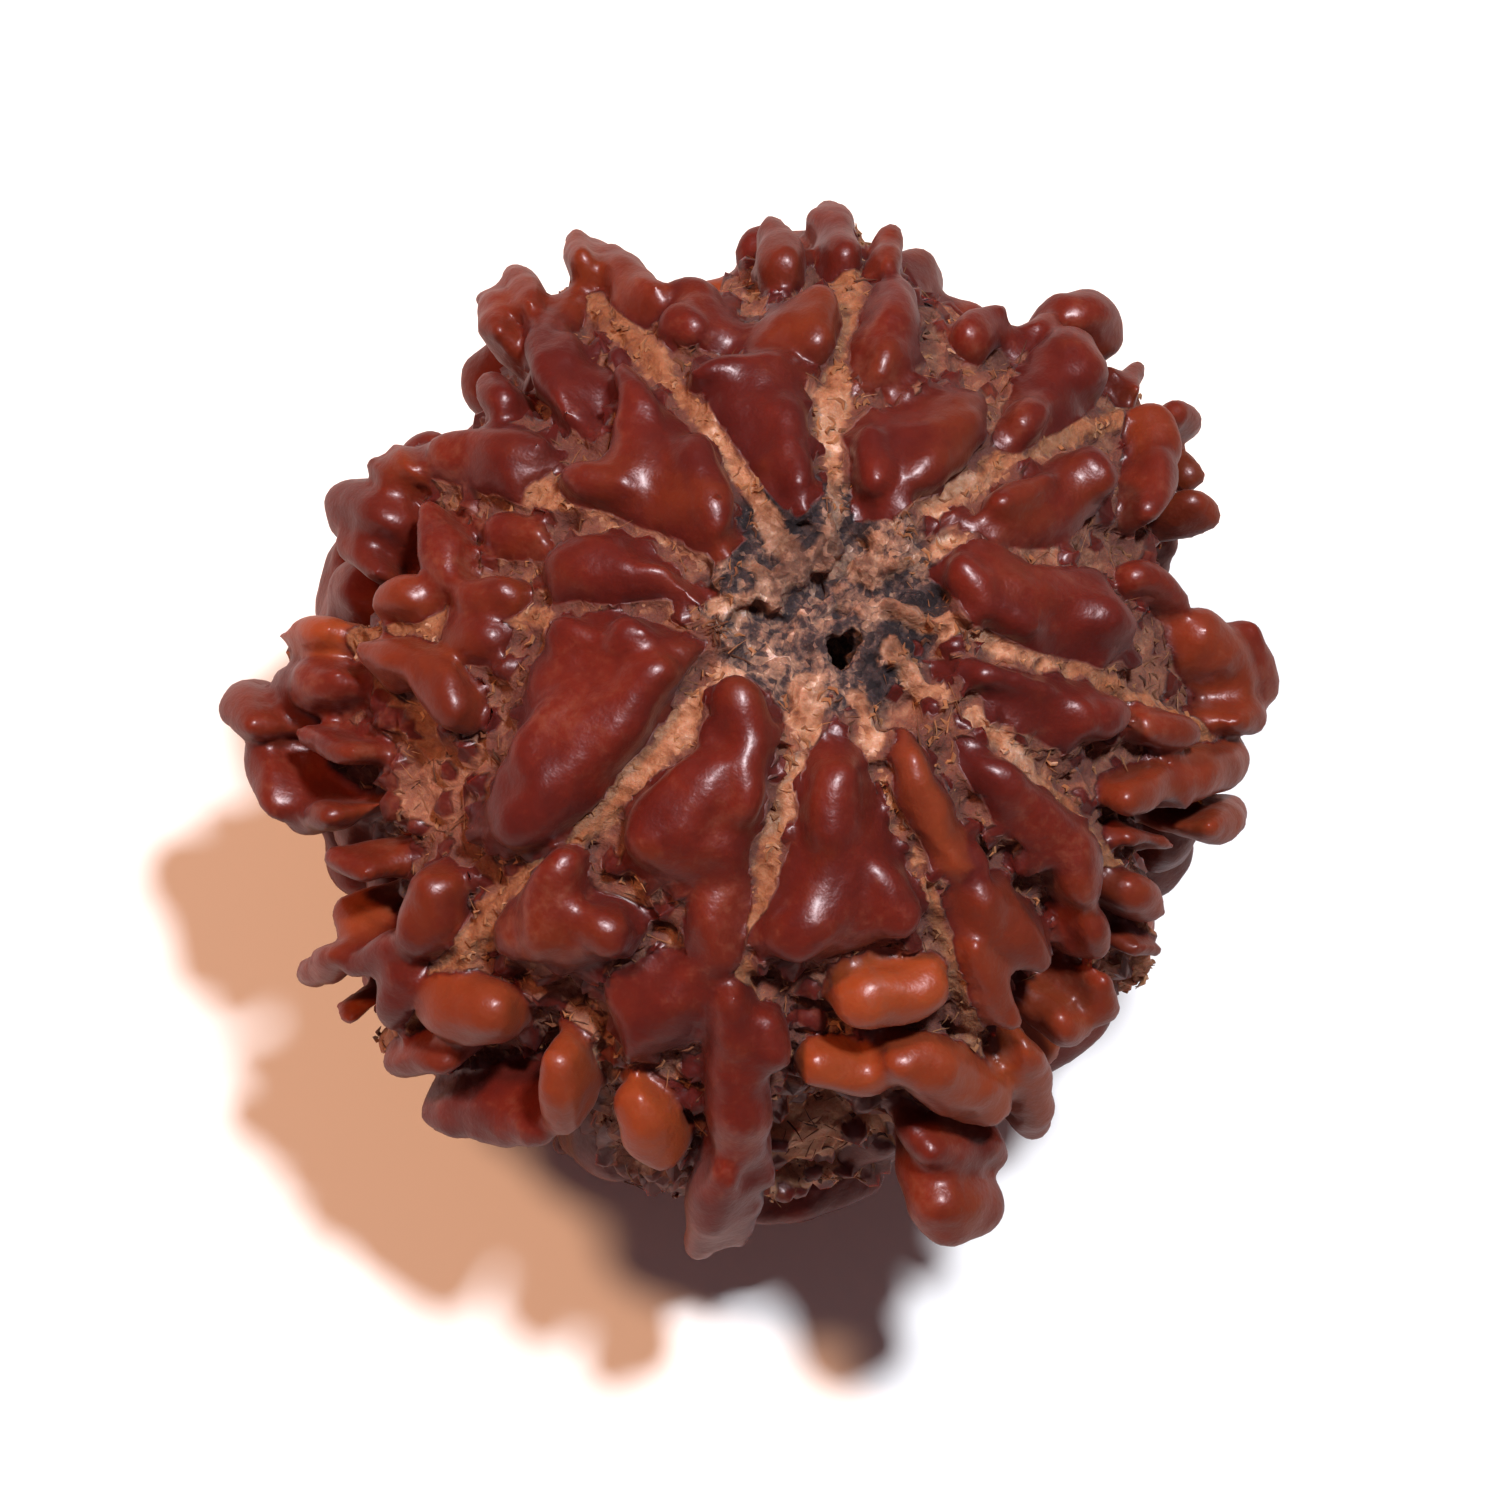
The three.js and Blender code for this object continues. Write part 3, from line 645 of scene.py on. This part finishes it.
def remeshed(bm, name):
    rough = placed(name, meshFrom(bm, name))
    remesh = rough.modifiers.new("remesh", "REMESH")
    remesh.mode = "VOXEL"
    remesh.voxel_size = bead["voxel"]
    smooth = rough.modifiers.new("smooth", "SMOOTH")
    smooth.factor = bead["smoothFactor"]
    smooth.iterations = bead["smoothing"]
    return applied(rough)


def thinned(mesh):
    full = placed("full", mesh)
    thin = full.modifiers.new("thin", "DECIMATE")
    thin.ratio = bead["keptShare"]
    return applied(full)


# distance from points to a finger's skin, negative inside
def fingerDistance(points, row):
    end1, end2, radius1, radius2, along, across, normal = fingerFrame(row)
    line = end2 - end1
    share = np.clip((points - end1) @ line / max(line @ line, 1e-9), 0, 1)
    offset = points - end1 - share[:, None] * line
    radius = radius1 + (radius2 - radius1) * share
    rise = offset @ normal
    side = np.linalg.norm(offset - rise[:, None] * normal, axis=1)
    rise = np.where(rise > 0, rise, rise * radius / fingers["rootReach"])
    return np.hypot(side, rise) - radius


# where the masks begin and end, in mm from a skin, an outline or the axis
maskEdges = {
    "finger": (-0.05, 0.22), "cordMargin": 0.1,
    "seam": (0.16, -0.06),
    "outer": (2.5, 8.0),
    "edge": (0.9, 0.1),
    "bossEnd": 3.2, "bossFade": 2.2,
    "ringOutside": (3.2, 2.4), "ringInside": (1.0, 1.6),     # of the cavities
    "pale": (-0.5, 0.4),
    "rim": (0.1, 0.9), "fingerRim": (0.0, 0.5),
    "toneRange": (-0.3, 3), "toneReach": 0.12,               # how tones blend from lobe to lobe
}


# per-point masks: lobe skin, lobe tone, seam cord, far from the axis, husk beside a lobe (where painted shade
# darkens the creases), upper boss, its cavities (where painted shade darkens it), heaps of husk painted paler
# (partly paler husk, partly painted light on the shaded front slope) and how far in from a lobe's rim (for
# painted shade at the rims)
def surfaceMasks(points):
    units, lengths = unitsOf(points)
    depth = (1 - lengths) * np.linalg.norm(units * halfAxes, axis=1)
    bodyDepth, cover, tone, within = massFields(units)
    aboveBody = bodyDepth - depth
    near = np.full(len(points), farAway)
    toneSum = np.zeros(len(points))
    toneWeight = np.full(len(points), 1e-9)
    for row in allLobes:
        distance = fingerDistance(points, row)
        weight = np.exp(-np.clip(distance, *maskEdges["toneRange"]) / maskEdges["toneReach"])
        toneSum += weight * row[5]
        toneWeight += weight
        near = np.minimum(near, distance)
    cord = np.full(len(points), farAway)
    for row in allSeams:
        cord = np.minimum(cord, fingerDistance(points, row))
    above = np.minimum(aboveBody, cord + maskEdges["cordMargin"])
    finger = smoothStep(*maskEdges["finger"], above - near)
    seam = smoothStep(*maskEdges["seam"], cord)
    upper = units[:, 2] > 0
    fromAxis = np.hypot(points[:, 0], points[:, 1])
    azimuths = np.degrees(np.arctan2(points[:, 1], points[:, 0]))
    ring = smoothStep(*maskEdges["ringOutside"], fromAxis) * smoothStep(*maskEdges["ringInside"], fromAxis)
    places = centre + halfAxes * units
    pale = np.zeros(len(points))
    for top, paleAndLitShare, corners in heaps():
        share = smoothStep(*maskEdges["pale"], insideOutline(places, corners))
        pale = np.maximum(pale, paleAndLitShare * share)
    fingerRim = finger * smoothStep(*maskEdges["fingerRim"], aboveBody)
    return {
        "lobe": np.maximum(finger, cover * (1 - seam)),
        "tone": tone + (toneSum / toneWeight - tone) * finger,
        "seam": seam,
        "outer": smoothStep(*maskEdges["outer"], fromAxis),
        "edge": smoothStep(*maskEdges["edge"], np.minimum(near, -within)),
        "boss": np.clip((maskEdges["bossEnd"] - fromAxis) / maskEdges["bossFade"], 0, 1) * upper,
        "cavity": ring * cavityShare(azimuths) * upper,
        "pale": pale,
        "rim": np.maximum(smoothStep(*maskEdges["rim"], within), fingerRim),
    }


# fine relief on the whole surface: rises in mm, scales per mm
grain = {
    "fibreRise": 0.14, "fibreScale": 2.2, "fibreOctaves": 3,    # rough husk between the lobes
    "seamCalm": 0.5,                            # how much less of it the seams have
    "pebbleRise": 0.38, "pebbleScale": 1.35,    # small lobes scattered in the husk
    "pebbleEdge": (0.6, 0.2), "pebbleSkin": (0.35, 0.65),
    "lobeRise": 0.2, "lobeScale": 0.55,         # slow swells on the lobes
    "wrinkleRise": 0.12, "wrinkleScale": 1.3,
    "bossRise": 0.28, "bossScale": 2.6,
    "pits": [(0.36, 0.2, 0.2, 0.6), (-1.04, -1.04, 0.16, 0.4)],  # x, y, radius and depth, beside the mouth
    "pitEdge": (1.6, 0.5), "pitLevel": 12,
    "calmHeight": 0.6,      # above the flat spot, where it is in full
}


def addGrain(mesh, masks):
    points = coordinates(mesh)
    spots = [Vector(point) for point in points]
    normals = np.array([vert.normal for vert in mesh.vertices])
    fibre = np.array([noise.turbulence(spot * grain["fibreScale"], grain["fibreOctaves"], False)
                      for spot in spots])
    swell = np.array([noise.noise(spot * grain["lobeScale"]) for spot in spots])
    wrinkle = np.array([noise.noise(spot * grain["wrinkleScale"]) for spot in spots])
    crumb = np.array([noise.noise(spot * grain["bossScale"]) for spot in spots])
    cell = np.array([noise.voronoi(spot * grain["pebbleScale"])[0][0] for spot in spots])
    lobe, boss, seam = masks["lobe"], masks["boss"], masks["seam"]
    bare = (1 - lobe) * (1 - boss) * (1 - seam)
    pebble = bare * smoothStep(*grain["pebbleEdge"], cell)
    rough = (1 - lobe) * (1 - grain["seamCalm"] * seam)
    rise = rough * grain["fibreRise"] * (fibre - 0.5) * 2 + grain["pebbleRise"] * pebble
    rise += lobe * (grain["lobeRise"] * swell + grain["wrinkleRise"] * wrinkle)
    rise += boss * (1 - lobe) * grain["bossRise"] * crumb
    outside, inside = grain["pitEdge"]
    for x, y, radius, depth in grain["pits"]:
        away = np.hypot(points[:, 0] - x, points[:, 1] - y)
        pit = depth * smoothStep(radius * outside, radius * inside, away)
        rise -= pit * (points[:, 2] > grain["pitLevel"])
    points += normals * (rise * smoothStep(0.0, grain["calmHeight"], points[:, 2]))[:, None]
    points[:, 2] = np.maximum(points[:, 2], 0)
    mesh.vertices.foreach_set("co", points.ravel())
    mesh.update()
    masks["lobe"] = np.maximum(lobe, smoothStep(*grain["pebbleSkin"], pebble))


def storeMasks(mesh, masks):
    for name, values in masks.items():
        layer = mesh.attributes.new(name, "FLOAT", "POINT")
        layer.data.foreach_set("value", values.astype(np.float32))


def triangleCount(mesh):
    return sum(len(face.vertices) - 2 for face in mesh.polygons)


def makeBead():
    bm = bmesh.new()
    addCore(bm)
    ball, smallBall = ballMesh(fingers["lobeDetail"]), ballMesh(fingers["seamDetail"])
    for row in allLobes:
        addFinger(bm, ball, row)
    for row in allSeams:
        addFinger(bm, smallBall, row)
    straight = np.array([vert.co for vert in bm.verts])
    for vert, shift in zip(bm.verts, bendOf(straight)):
        vert.co += Vector(shift)
    mesh = thinned(remeshed(bm, "bead_body"))
    points = coordinates(mesh)
    masks = surfaceMasks(points - bendOf(points))
    addGrain(mesh, masks)
    storeMasks(mesh, masks)
    points = coordinates(mesh)
    middle = (points.min(axis=0) + points.max(axis=0)) / 2
    mesh.transform(Matrix.Scale(millimetre, 4) @ Matrix.Translation((-middle[0], -middle[1], 0)))
    mesh.polygons.foreach_set("use_smooth", [True] * len(mesh.polygons))
    body = placed("bead_body", mesh)
    print(f"bead body: {len(allLobes)} lobes, {len(allSeams)} seam lengths, {triangleCount(mesh)} triangles")
    return body, masks, middle


# loose slivers of dried husk in the hollows between the lobes, mm
fibres = {
    "count": 5500, "seamShare": 0.25,
    "length": (0.25, 0.8), "thickness": (0.02, 0.05),
    "fleckShare": 0.35, "fleckLength": (0.12, 0.35), "fleckThickness": (0.06, 0.14),
    "stand": (0.0, 0.5),           # how far they stand up out of the surface
    "rise": 0.2,                   # of the root, as a share of the thickness
    "barest": 0.25,                # lobe cover above which none grow
    "bossEnd": 0.6,                # and boss cover
    "seamEdge": 0.2, "seamTone": 0.6,      # where a sliver lies on a seam, and the least tone there
    "tip": 0.1, "bulge": 1.35, "bow": 0.6,
}


def sliverMesh():
    bm = bmesh.new()
    bmesh.ops.create_cone(bm, cap_ends=True, segments=4, radius1=0.5, radius2=fibres["tip"], depth=1)
    sides = [edge for edge in bm.edges if abs(edge.verts[0].co.z - edge.verts[1].co.z) > 0.5]
    bmesh.ops.subdivide_edges(bm, edges=sides, cuts=1)
    for vert in bm.verts:
        if abs(vert.co.z) < 0.1:      # the ring halfway along
            vert.co *= fibres["bulge"]
            vert.co.x += fibres["bow"]
    return meshFrom(bm, "sliver")


def makeFibres(body, masks):
    mesh = body.data
    bare = np.flatnonzero((masks["lobe"] < fibres["barest"]) & (masks["boss"] < fibres["bossEnd"]))
    sliver = sliverMesh()
    bm = bmesh.new()
    tones = []
    for index in random.sample([int(value) for value in bare], fibres["count"]):
        vert = mesh.vertices[index]
        onSeam = masks["seam"][index] > fibres["seamEdge"]
        if onSeam and random.random() > fibres["seamShare"]:
            continue
        fleck = onSeam or random.random() < fibres["fleckShare"]
        length = random.uniform(*fibres["fleckLength" if fleck else "length"]) * millimetre
        thickness = random.uniform(*fibres["fleckThickness" if fleck else "thickness"]) * millimetre
        tangent = Vector([random.gauss(0, 1) for axis in "xyz"])
        tangent -= vert.normal * tangent.dot(vert.normal)
        toward = tangent.normalized() + vert.normal * random.uniform(*fibres["stand"])
        turn = toward.to_track_quat("Z", "Y").to_matrix().to_4x4()
        place = vert.co + vert.normal * thickness * fibres["rise"]
        size = Matrix.Diagonal((thickness, thickness, length, 1))
        copy = sliver.copy()
        copy.transform(Matrix.Translation(place) @ turn @ size)
        bm.from_mesh(copy)
        bpy.data.meshes.remove(copy)
        tones += [random.uniform(fibres["seamTone"] if onSeam else 0, 1)] * len(sliver.vertices)
    for vert in bm.verts:
        vert.co.z = max(vert.co.z, 0)
    bmesh.ops.recalc_face_normals(bm, faces=bm.faces)
    strands = meshFrom(bm, "husk_fibres")
    storeMasks(strands, {"tone": np.array(tones)})
    print(f"husk fibres: {len(tones) // len(sliver.vertices)} slivers, {triangleCount(strands)} triangles")
    return placed("husk_fibres", strands)


# a socket that sums, scales and mixes as it is written
class Wire:
    def __init__(self, tree, socket):
        self.tree = tree
        self.socket = socket

    def node(self, kind, settings=None, inputs=None, output=0):
        node = self.tree.nodes.new(kind)
        for key, value in (settings or {}).items():
            if key == "stops":
                ramp = node.color_ramp.elements
                while len(ramp) < len(value):
                    ramp.new(0.5)
                for stop, (place, tint) in zip(ramp, value):
                    stop.position = place
                    stop.color = (*tint, 1)
            else:
                setattr(node, key, value)
        for key, value in (inputs or {}).items():
            if isinstance(value, Wire):
                self.tree.links.new(value.socket, node.inputs[key])
            else:
                node.inputs[key].default_value = value
        return Wire(self.tree, node.outputs[output])

    def maths(self, operation, first, second):
        return self.node("ShaderNodeMath", {"operation": operation}, {0: first, 1: second})

    def __add__(self, other):
        return self.maths("ADD", self, other)

    __radd__ = __add__

    def __sub__(self, other):
        return self.maths("SUBTRACT", self, other)

    def __rsub__(self, other):
        return self.maths("SUBTRACT", other, self)

    def __mul__(self, other):
        return self.maths("MULTIPLY", self, other)

    __rmul__ = __mul__

    def between(self, low, high):
        return self.node("ShaderNodeMapRange", {"interpolation_type": "SMOOTHSTEP"},
                         {"Value": self, "From Min": low, "From Max": high})

    def mix(self, first, second):
        return self.node("ShaderNodeMix", {"data_type": "RGBA"}, {0: self, 6: first, 7: second}, 2)

    def ramp(self, stops):
        return self.node("ShaderNodeValToRGB", {"stops": stops}, {0: self})


def newMaterial(name):
    material = bpy.data.materials.new(name)
    material.use_nodes = True
    tree = material.node_tree
    shader = next(node for node in tree.nodes if node.type == "BSDF_PRINCIPLED")
    return material, tree, shader, Wire(tree, None)


def colour(red, green, blue):
    return (red, green, blue, 1)


sheenTint = colour(1, 0.74, 0.76)
shellLook = {
    "darkLobe": colour(0.07, 0.0075, 0.005),
    # painted shade for the rims of the masses and the roots of the lobes
    "paintedRimShade": colour(0.045, 0.007, 0.007),
    "redLobe": colour(0.12, 0.0125, 0.0058),
    "brownLobe": colour(0.118, 0.0175, 0.005),
    "orangeLobe": colour(0.25, 0.049, 0.012),
    "farSeam": colour(0.2, 0.066, 0.022),
    # painted shade in the husk's creases beside the lobes
    "paintedCreaseShade": colour(0.085, 0.025, 0.019),
    "dust": colour(0.19, 0.062, 0.036),
    "husk": [(0.0, (0.06, 0.025, 0.019)), (0.36, (0.15, 0.053, 0.033)), (0.6, (0.22, 0.086, 0.049)),
             (1.0, (0.44, 0.23, 0.14))],
    "seam": [(0.0, (0.03, 0.013, 0.01)), (0.36, (0.2, 0.075, 0.034)), (0.62, (0.36, 0.175, 0.1)),
             (0.8, (0.46, 0.275, 0.19)), (1.0, (0.72, 0.55, 0.48))],
    "boss": [(0.0, (0.006, 0.005, 0.006)), (0.32, (0.04, 0.026, 0.026)), (0.5, (0.15, 0.085, 0.065)),
             (0.7, (0.28, 0.16, 0.11)), (1.0, (0.75, 0.6, 0.54))],
    "lobeRoughness": 0.38, "huskRoughness": 0.8, "roughnessSpread": 0.14,
    "coat": 0.22, "bump": 0.8, "bumpDistance": 0.0002,
    "sockets": {
        "Coat Roughness": 0.26, "Specular IOR Level": 0.44, "Specular Tint": sheenTint,
        "Sheen Weight": 0.04, "Sheen Roughness": 0.4, "Sheen Tint": sheenTint,
        "Subsurface Weight": 0.3, "Subsurface Radius": (1.0, 0.25, 0.1), "Subsurface Scale": 0.0006,
    },
    "patchScale": 260, "broadScale": 420, "mediumScale": 1100, "fineScale": 4200,    # noise, per metre
    "pitScale": 1500, "crumbScale": 5500,    # cells, per metre
}


def shellMaterial():
    material, tree, shader, wire = newMaterial("bead_shell")
    place = wire.node("ShaderNodeTexCoord", output="Object")
    lobe, tone, seam, outer, edge, boss, cavity, pale, rim = (
        wire.node("ShaderNodeAttribute", {"attribute_name": name}, output="Fac")
        for name in ("lobe", "tone", "seam", "outer", "edge", "boss", "cavity", "pale", "rim"))

    def grainAt(scale, detail=4.0, rough=0.6):
        return wire.node("ShaderNodeTexNoise", inputs={
            "Vector": place, "Scale": scale, "Detail": detail, "Roughness": rough})

    def cellsAt(scale, output):
        return wire.node("ShaderNodeTexVoronoi", inputs={
            "Vector": place, "Scale": scale, "Randomness": 1.0}, output=output)

    broad, medium = grainAt(shellLook["broadScale"]), grainAt(shellLook["mediumScale"])
    fine, patch = grainAt(shellLook["fineScale"], 6), grainAt(shellLook["patchScale"], 2.0, 0.4)
    hollow = 1 - cellsAt(shellLook["pitScale"], "Distance").between(0.08, 0.34)
    crumb = cellsAt(shellLook["crumbScale"], "Color")
    skinCover = (lobe + 0.35 * (medium - 0.5) + 0.2 * (fine - 0.5)).between(0.3, 0.62)
    # waxy skin: dark and bright reds, brown patches, orange lobes, painted shade darkening the rims of the
    # masses and the roots of the lobes, and a little dust
    red = (broad.between(0.35, 0.68)).mix(shellLook["darkLobe"], shellLook["redLobe"])
    red = ((patch + 0.5 * (medium - 0.5)).between(0.5, 0.72) * 0.85).mix(red, shellLook["brownLobe"])
    skin = (tone.between(0.3, 1.0) * (0.55 + 0.6 * medium)).mix(red, shellLook["orangeLobe"])
    # painted shade: darker towards each mass's rim and each lobe's root
    skin = (0.4 + 0.6 * rim).mix(shellLook["paintedRimShade"], skin)
    dusty = (broad + 0.7 * (fine - 0.5)).between(0.52, 0.8) * (0.08 + 0.36 * outer)
    skin = dusty.mix(skin, shellLook["dust"])
    # dry parts: husk with painted shade in the creases beside the lobes, the seam cords and the boss round
    # the upper mouth
    # paler on the heaps: partly paler husk, partly painted light on the shaded front slope
    husk = 0.6 * medium + 0.7 * fine + 0.25 * crumb - 0.22 - 0.2 * hollow + 0.5 * pale
    husk = husk.ramp(shellLook["husk"])
    cord = 1.1 * medium + 0.9 * fine + 0.2 * crumb - 0.5 - 0.12 * outer - 0.25 * hollow
    cord = (outer * 0.6).mix(cord.ramp(shellLook["seam"]), shellLook["farSeam"])
    # darker where the ring is deep: painted shade in its cavities
    crown = 1.3 * medium + 1.3 * fine + 0.45 * crumb - 1.08 - 0.32 * cavity
    crown = crown.ramp(shellLook["boss"])
    # painted shade in the creases beside the lobes, less of it on the paler heaps
    creaseShadeShare = edge * (1 - 0.8 * pale) * (0.1 + 0.7 * medium.between(0.7, 0.4))
    dry = boss.between(0.1, 0.35).mix(creaseShadeShare.mix(husk, shellLook["paintedCreaseShade"]), crown)
    strip = seam * (1.08 - 0.2 * outer) + 0.9 * (medium - 0.5)
    strip = (strip + 0.6 * (crumb - 0.5) + 0.5 * (broad - 0.5)).between(0.2, 0.75)
    dry = (strip * (1 - 0.7 * boss)).mix(dry, cord)
    whole = skinCover.mix(dry, skin)
    tree.links.new(whole.socket, shader.inputs["Base Color"])
    glossier = shellLook["huskRoughness"] - shellLook["lobeRoughness"]
    rough = shellLook["huskRoughness"] - skinCover * glossier + shellLook["roughnessSpread"] * (medium - 0.5)
    tree.links.new(rough.socket, shader.inputs["Roughness"])
    huskRelief = fine * 0.8 + medium * 0.5 + crumb * 0.5 - 0.5 * hollow
    relief = (1 - skinCover) * huskRelief + skinCover * (0.4 * medium + 0.1 * fine)
    bump = wire.node("ShaderNodeBump", inputs={
        "Height": relief, "Strength": shellLook["bump"], "Distance": shellLook["bumpDistance"]})
    tree.links.new(bump.socket, shader.inputs["Normal"])
    tree.links.new((skinCover * shellLook["coat"]).socket, shader.inputs["Coat Weight"])
    for name, value in shellLook["sockets"].items():
        shader.inputs[name].default_value = value
    return material


fibreLook = {
    "stops": [(0.0, (0.05, 0.018, 0.01)), (0.5, (0.16, 0.06, 0.028)), (0.85, (0.32, 0.14, 0.06)),
              (1.0, (0.5, 0.34, 0.26))],
    "roughness": 0.7,
    "streakScale": 5000.0, "streakDetail": 3.0,
}


def fibreMaterial():
    material, tree, shader, wire = newMaterial("husk_fibre")
    place = wire.node("ShaderNodeTexCoord", output="Object")
    tone = wire.node("ShaderNodeAttribute", {"attribute_name": "tone"}, output="Fac")
    streak = wire.node("ShaderNodeTexNoise", inputs={
        "Vector": place, "Scale": fibreLook["streakScale"], "Detail": fibreLook["streakDetail"]})
    tint = (tone * 0.85 + 0.5 * (streak - 0.4)).ramp(fibreLook["stops"])
    tree.links.new(tint.socket, shader.inputs["Base Color"])
    shader.inputs["Roughness"].default_value = fibreLook["roughness"]
    return material


lamps = {
    "key": {"from": (0.235, 0.4, 0.885), "colour": (0.92, 0.95, 1), "energy": 1.14, "size": 0.036,
            "shine": True},
    "warm": {"from": (-0.42, 0.395, 0.815), "colour": (1, 0.51, 0.28), "energy": 0.74, "size": 0.04,
             "shine": False},
    "distance": 0.3,
    "room": 0.104, "roomColour": colour(1, 0.61, 0.64),
}


def placeCamera(middle):
    right, up, back = viewAxes()
    half, scale = view["frame"] / 2, view["distance"] / focal
    spot = Vector((-middle[0], -middle[1], bead["centreHeight"])) + back * view["distance"]
    spot += right * (half - view["middle"][0]) * scale + up * (view["middle"][1] - half) * scale
    spot *= millimetre
    camera = placed("camera", bpy.data.cameras.new("camera"))
    camera.data.lens = view["lens"]
    camera.data.sensor_width = view["sensor"]
    camera.data.clip_start = millimetre
    camera.matrix_world = Matrix((
        (right.x, up.x, back.x, spot.x),
        (right.y, up.y, back.y, spot.y),
        (right.z, up.z, back.z, spot.z),
        (0, 0, 0, 1),
    ))
    bpy.context.scene.camera = camera


def placeLamps():
    right, up, back = viewAxes()
    middle = Vector((0, 0, bead["centreHeight"] * millimetre))
    for name in ("key", "warm"):
        lamp = lamps[name]
        x, y, z = lamp["from"]
        toward = (right * x + up * y + back * z).normalized()
        light = bpy.data.lights.new(name, "AREA")
        light.shape = "DISK"
        light.size = lamp["size"]
        light.energy = lamp["energy"]
        light.color = lamp["colour"]
        holder = placed(name, light)
        holder.location = middle + toward * lamps["distance"]
        holder.rotation_euler = toward.to_track_quat("Z", "Y").to_euler()
        holder.visible_glossy = lamp["shine"]
    world = bpy.data.worlds.new("room")
    world.use_nodes = True
    background = world.node_tree.nodes["Background"]
    background.inputs["Color"].default_value = lamps["roomColour"]
    background.inputs["Strength"].default_value = lamps["room"]
    bpy.context.scene.world = world
    bpy.context.scene.view_settings.view_transform = "Standard"


floorLook = {
    "seen": colour(0.9, 0.9, 0.9),
    "mirrored": colour(0.36, 0.3, 0.29),     # dimmer where the lobes mirror it, so they keep their red
    "roughness": 0.7,
    "halfSize": 0.5,                         # m
}


def makeFloor():
    bm = bmesh.new()
    bmesh.ops.create_grid(bm, x_segments=1, y_segments=1, size=floorLook["halfSize"])
    floor = placed("floor", meshFrom(bm, "floor"))
    material, tree, shader, wire = newMaterial("pale_floor")
    mirrored = wire.node("ShaderNodeLightPath", output="Is Glossy Ray")
    tint = mirrored.mix(floorLook["seen"], floorLook["mirrored"])
    tree.links.new(tint.socket, shader.inputs["Base Color"])
    shader.inputs["Roughness"].default_value = floorLook["roughness"]
    floor.data.materials.append(material)


body, masks, middle = makeBead()
body.data.materials.append(shellMaterial())
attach(body, "root")
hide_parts("rudraksha_bead")

strands = makeFibres(body, masks)
strands.data.materials.append(fibreMaterial())
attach(strands, "root")

makeFloor()
placeCamera(middle)
placeLamps()
print("floor, camera and lamps placed")
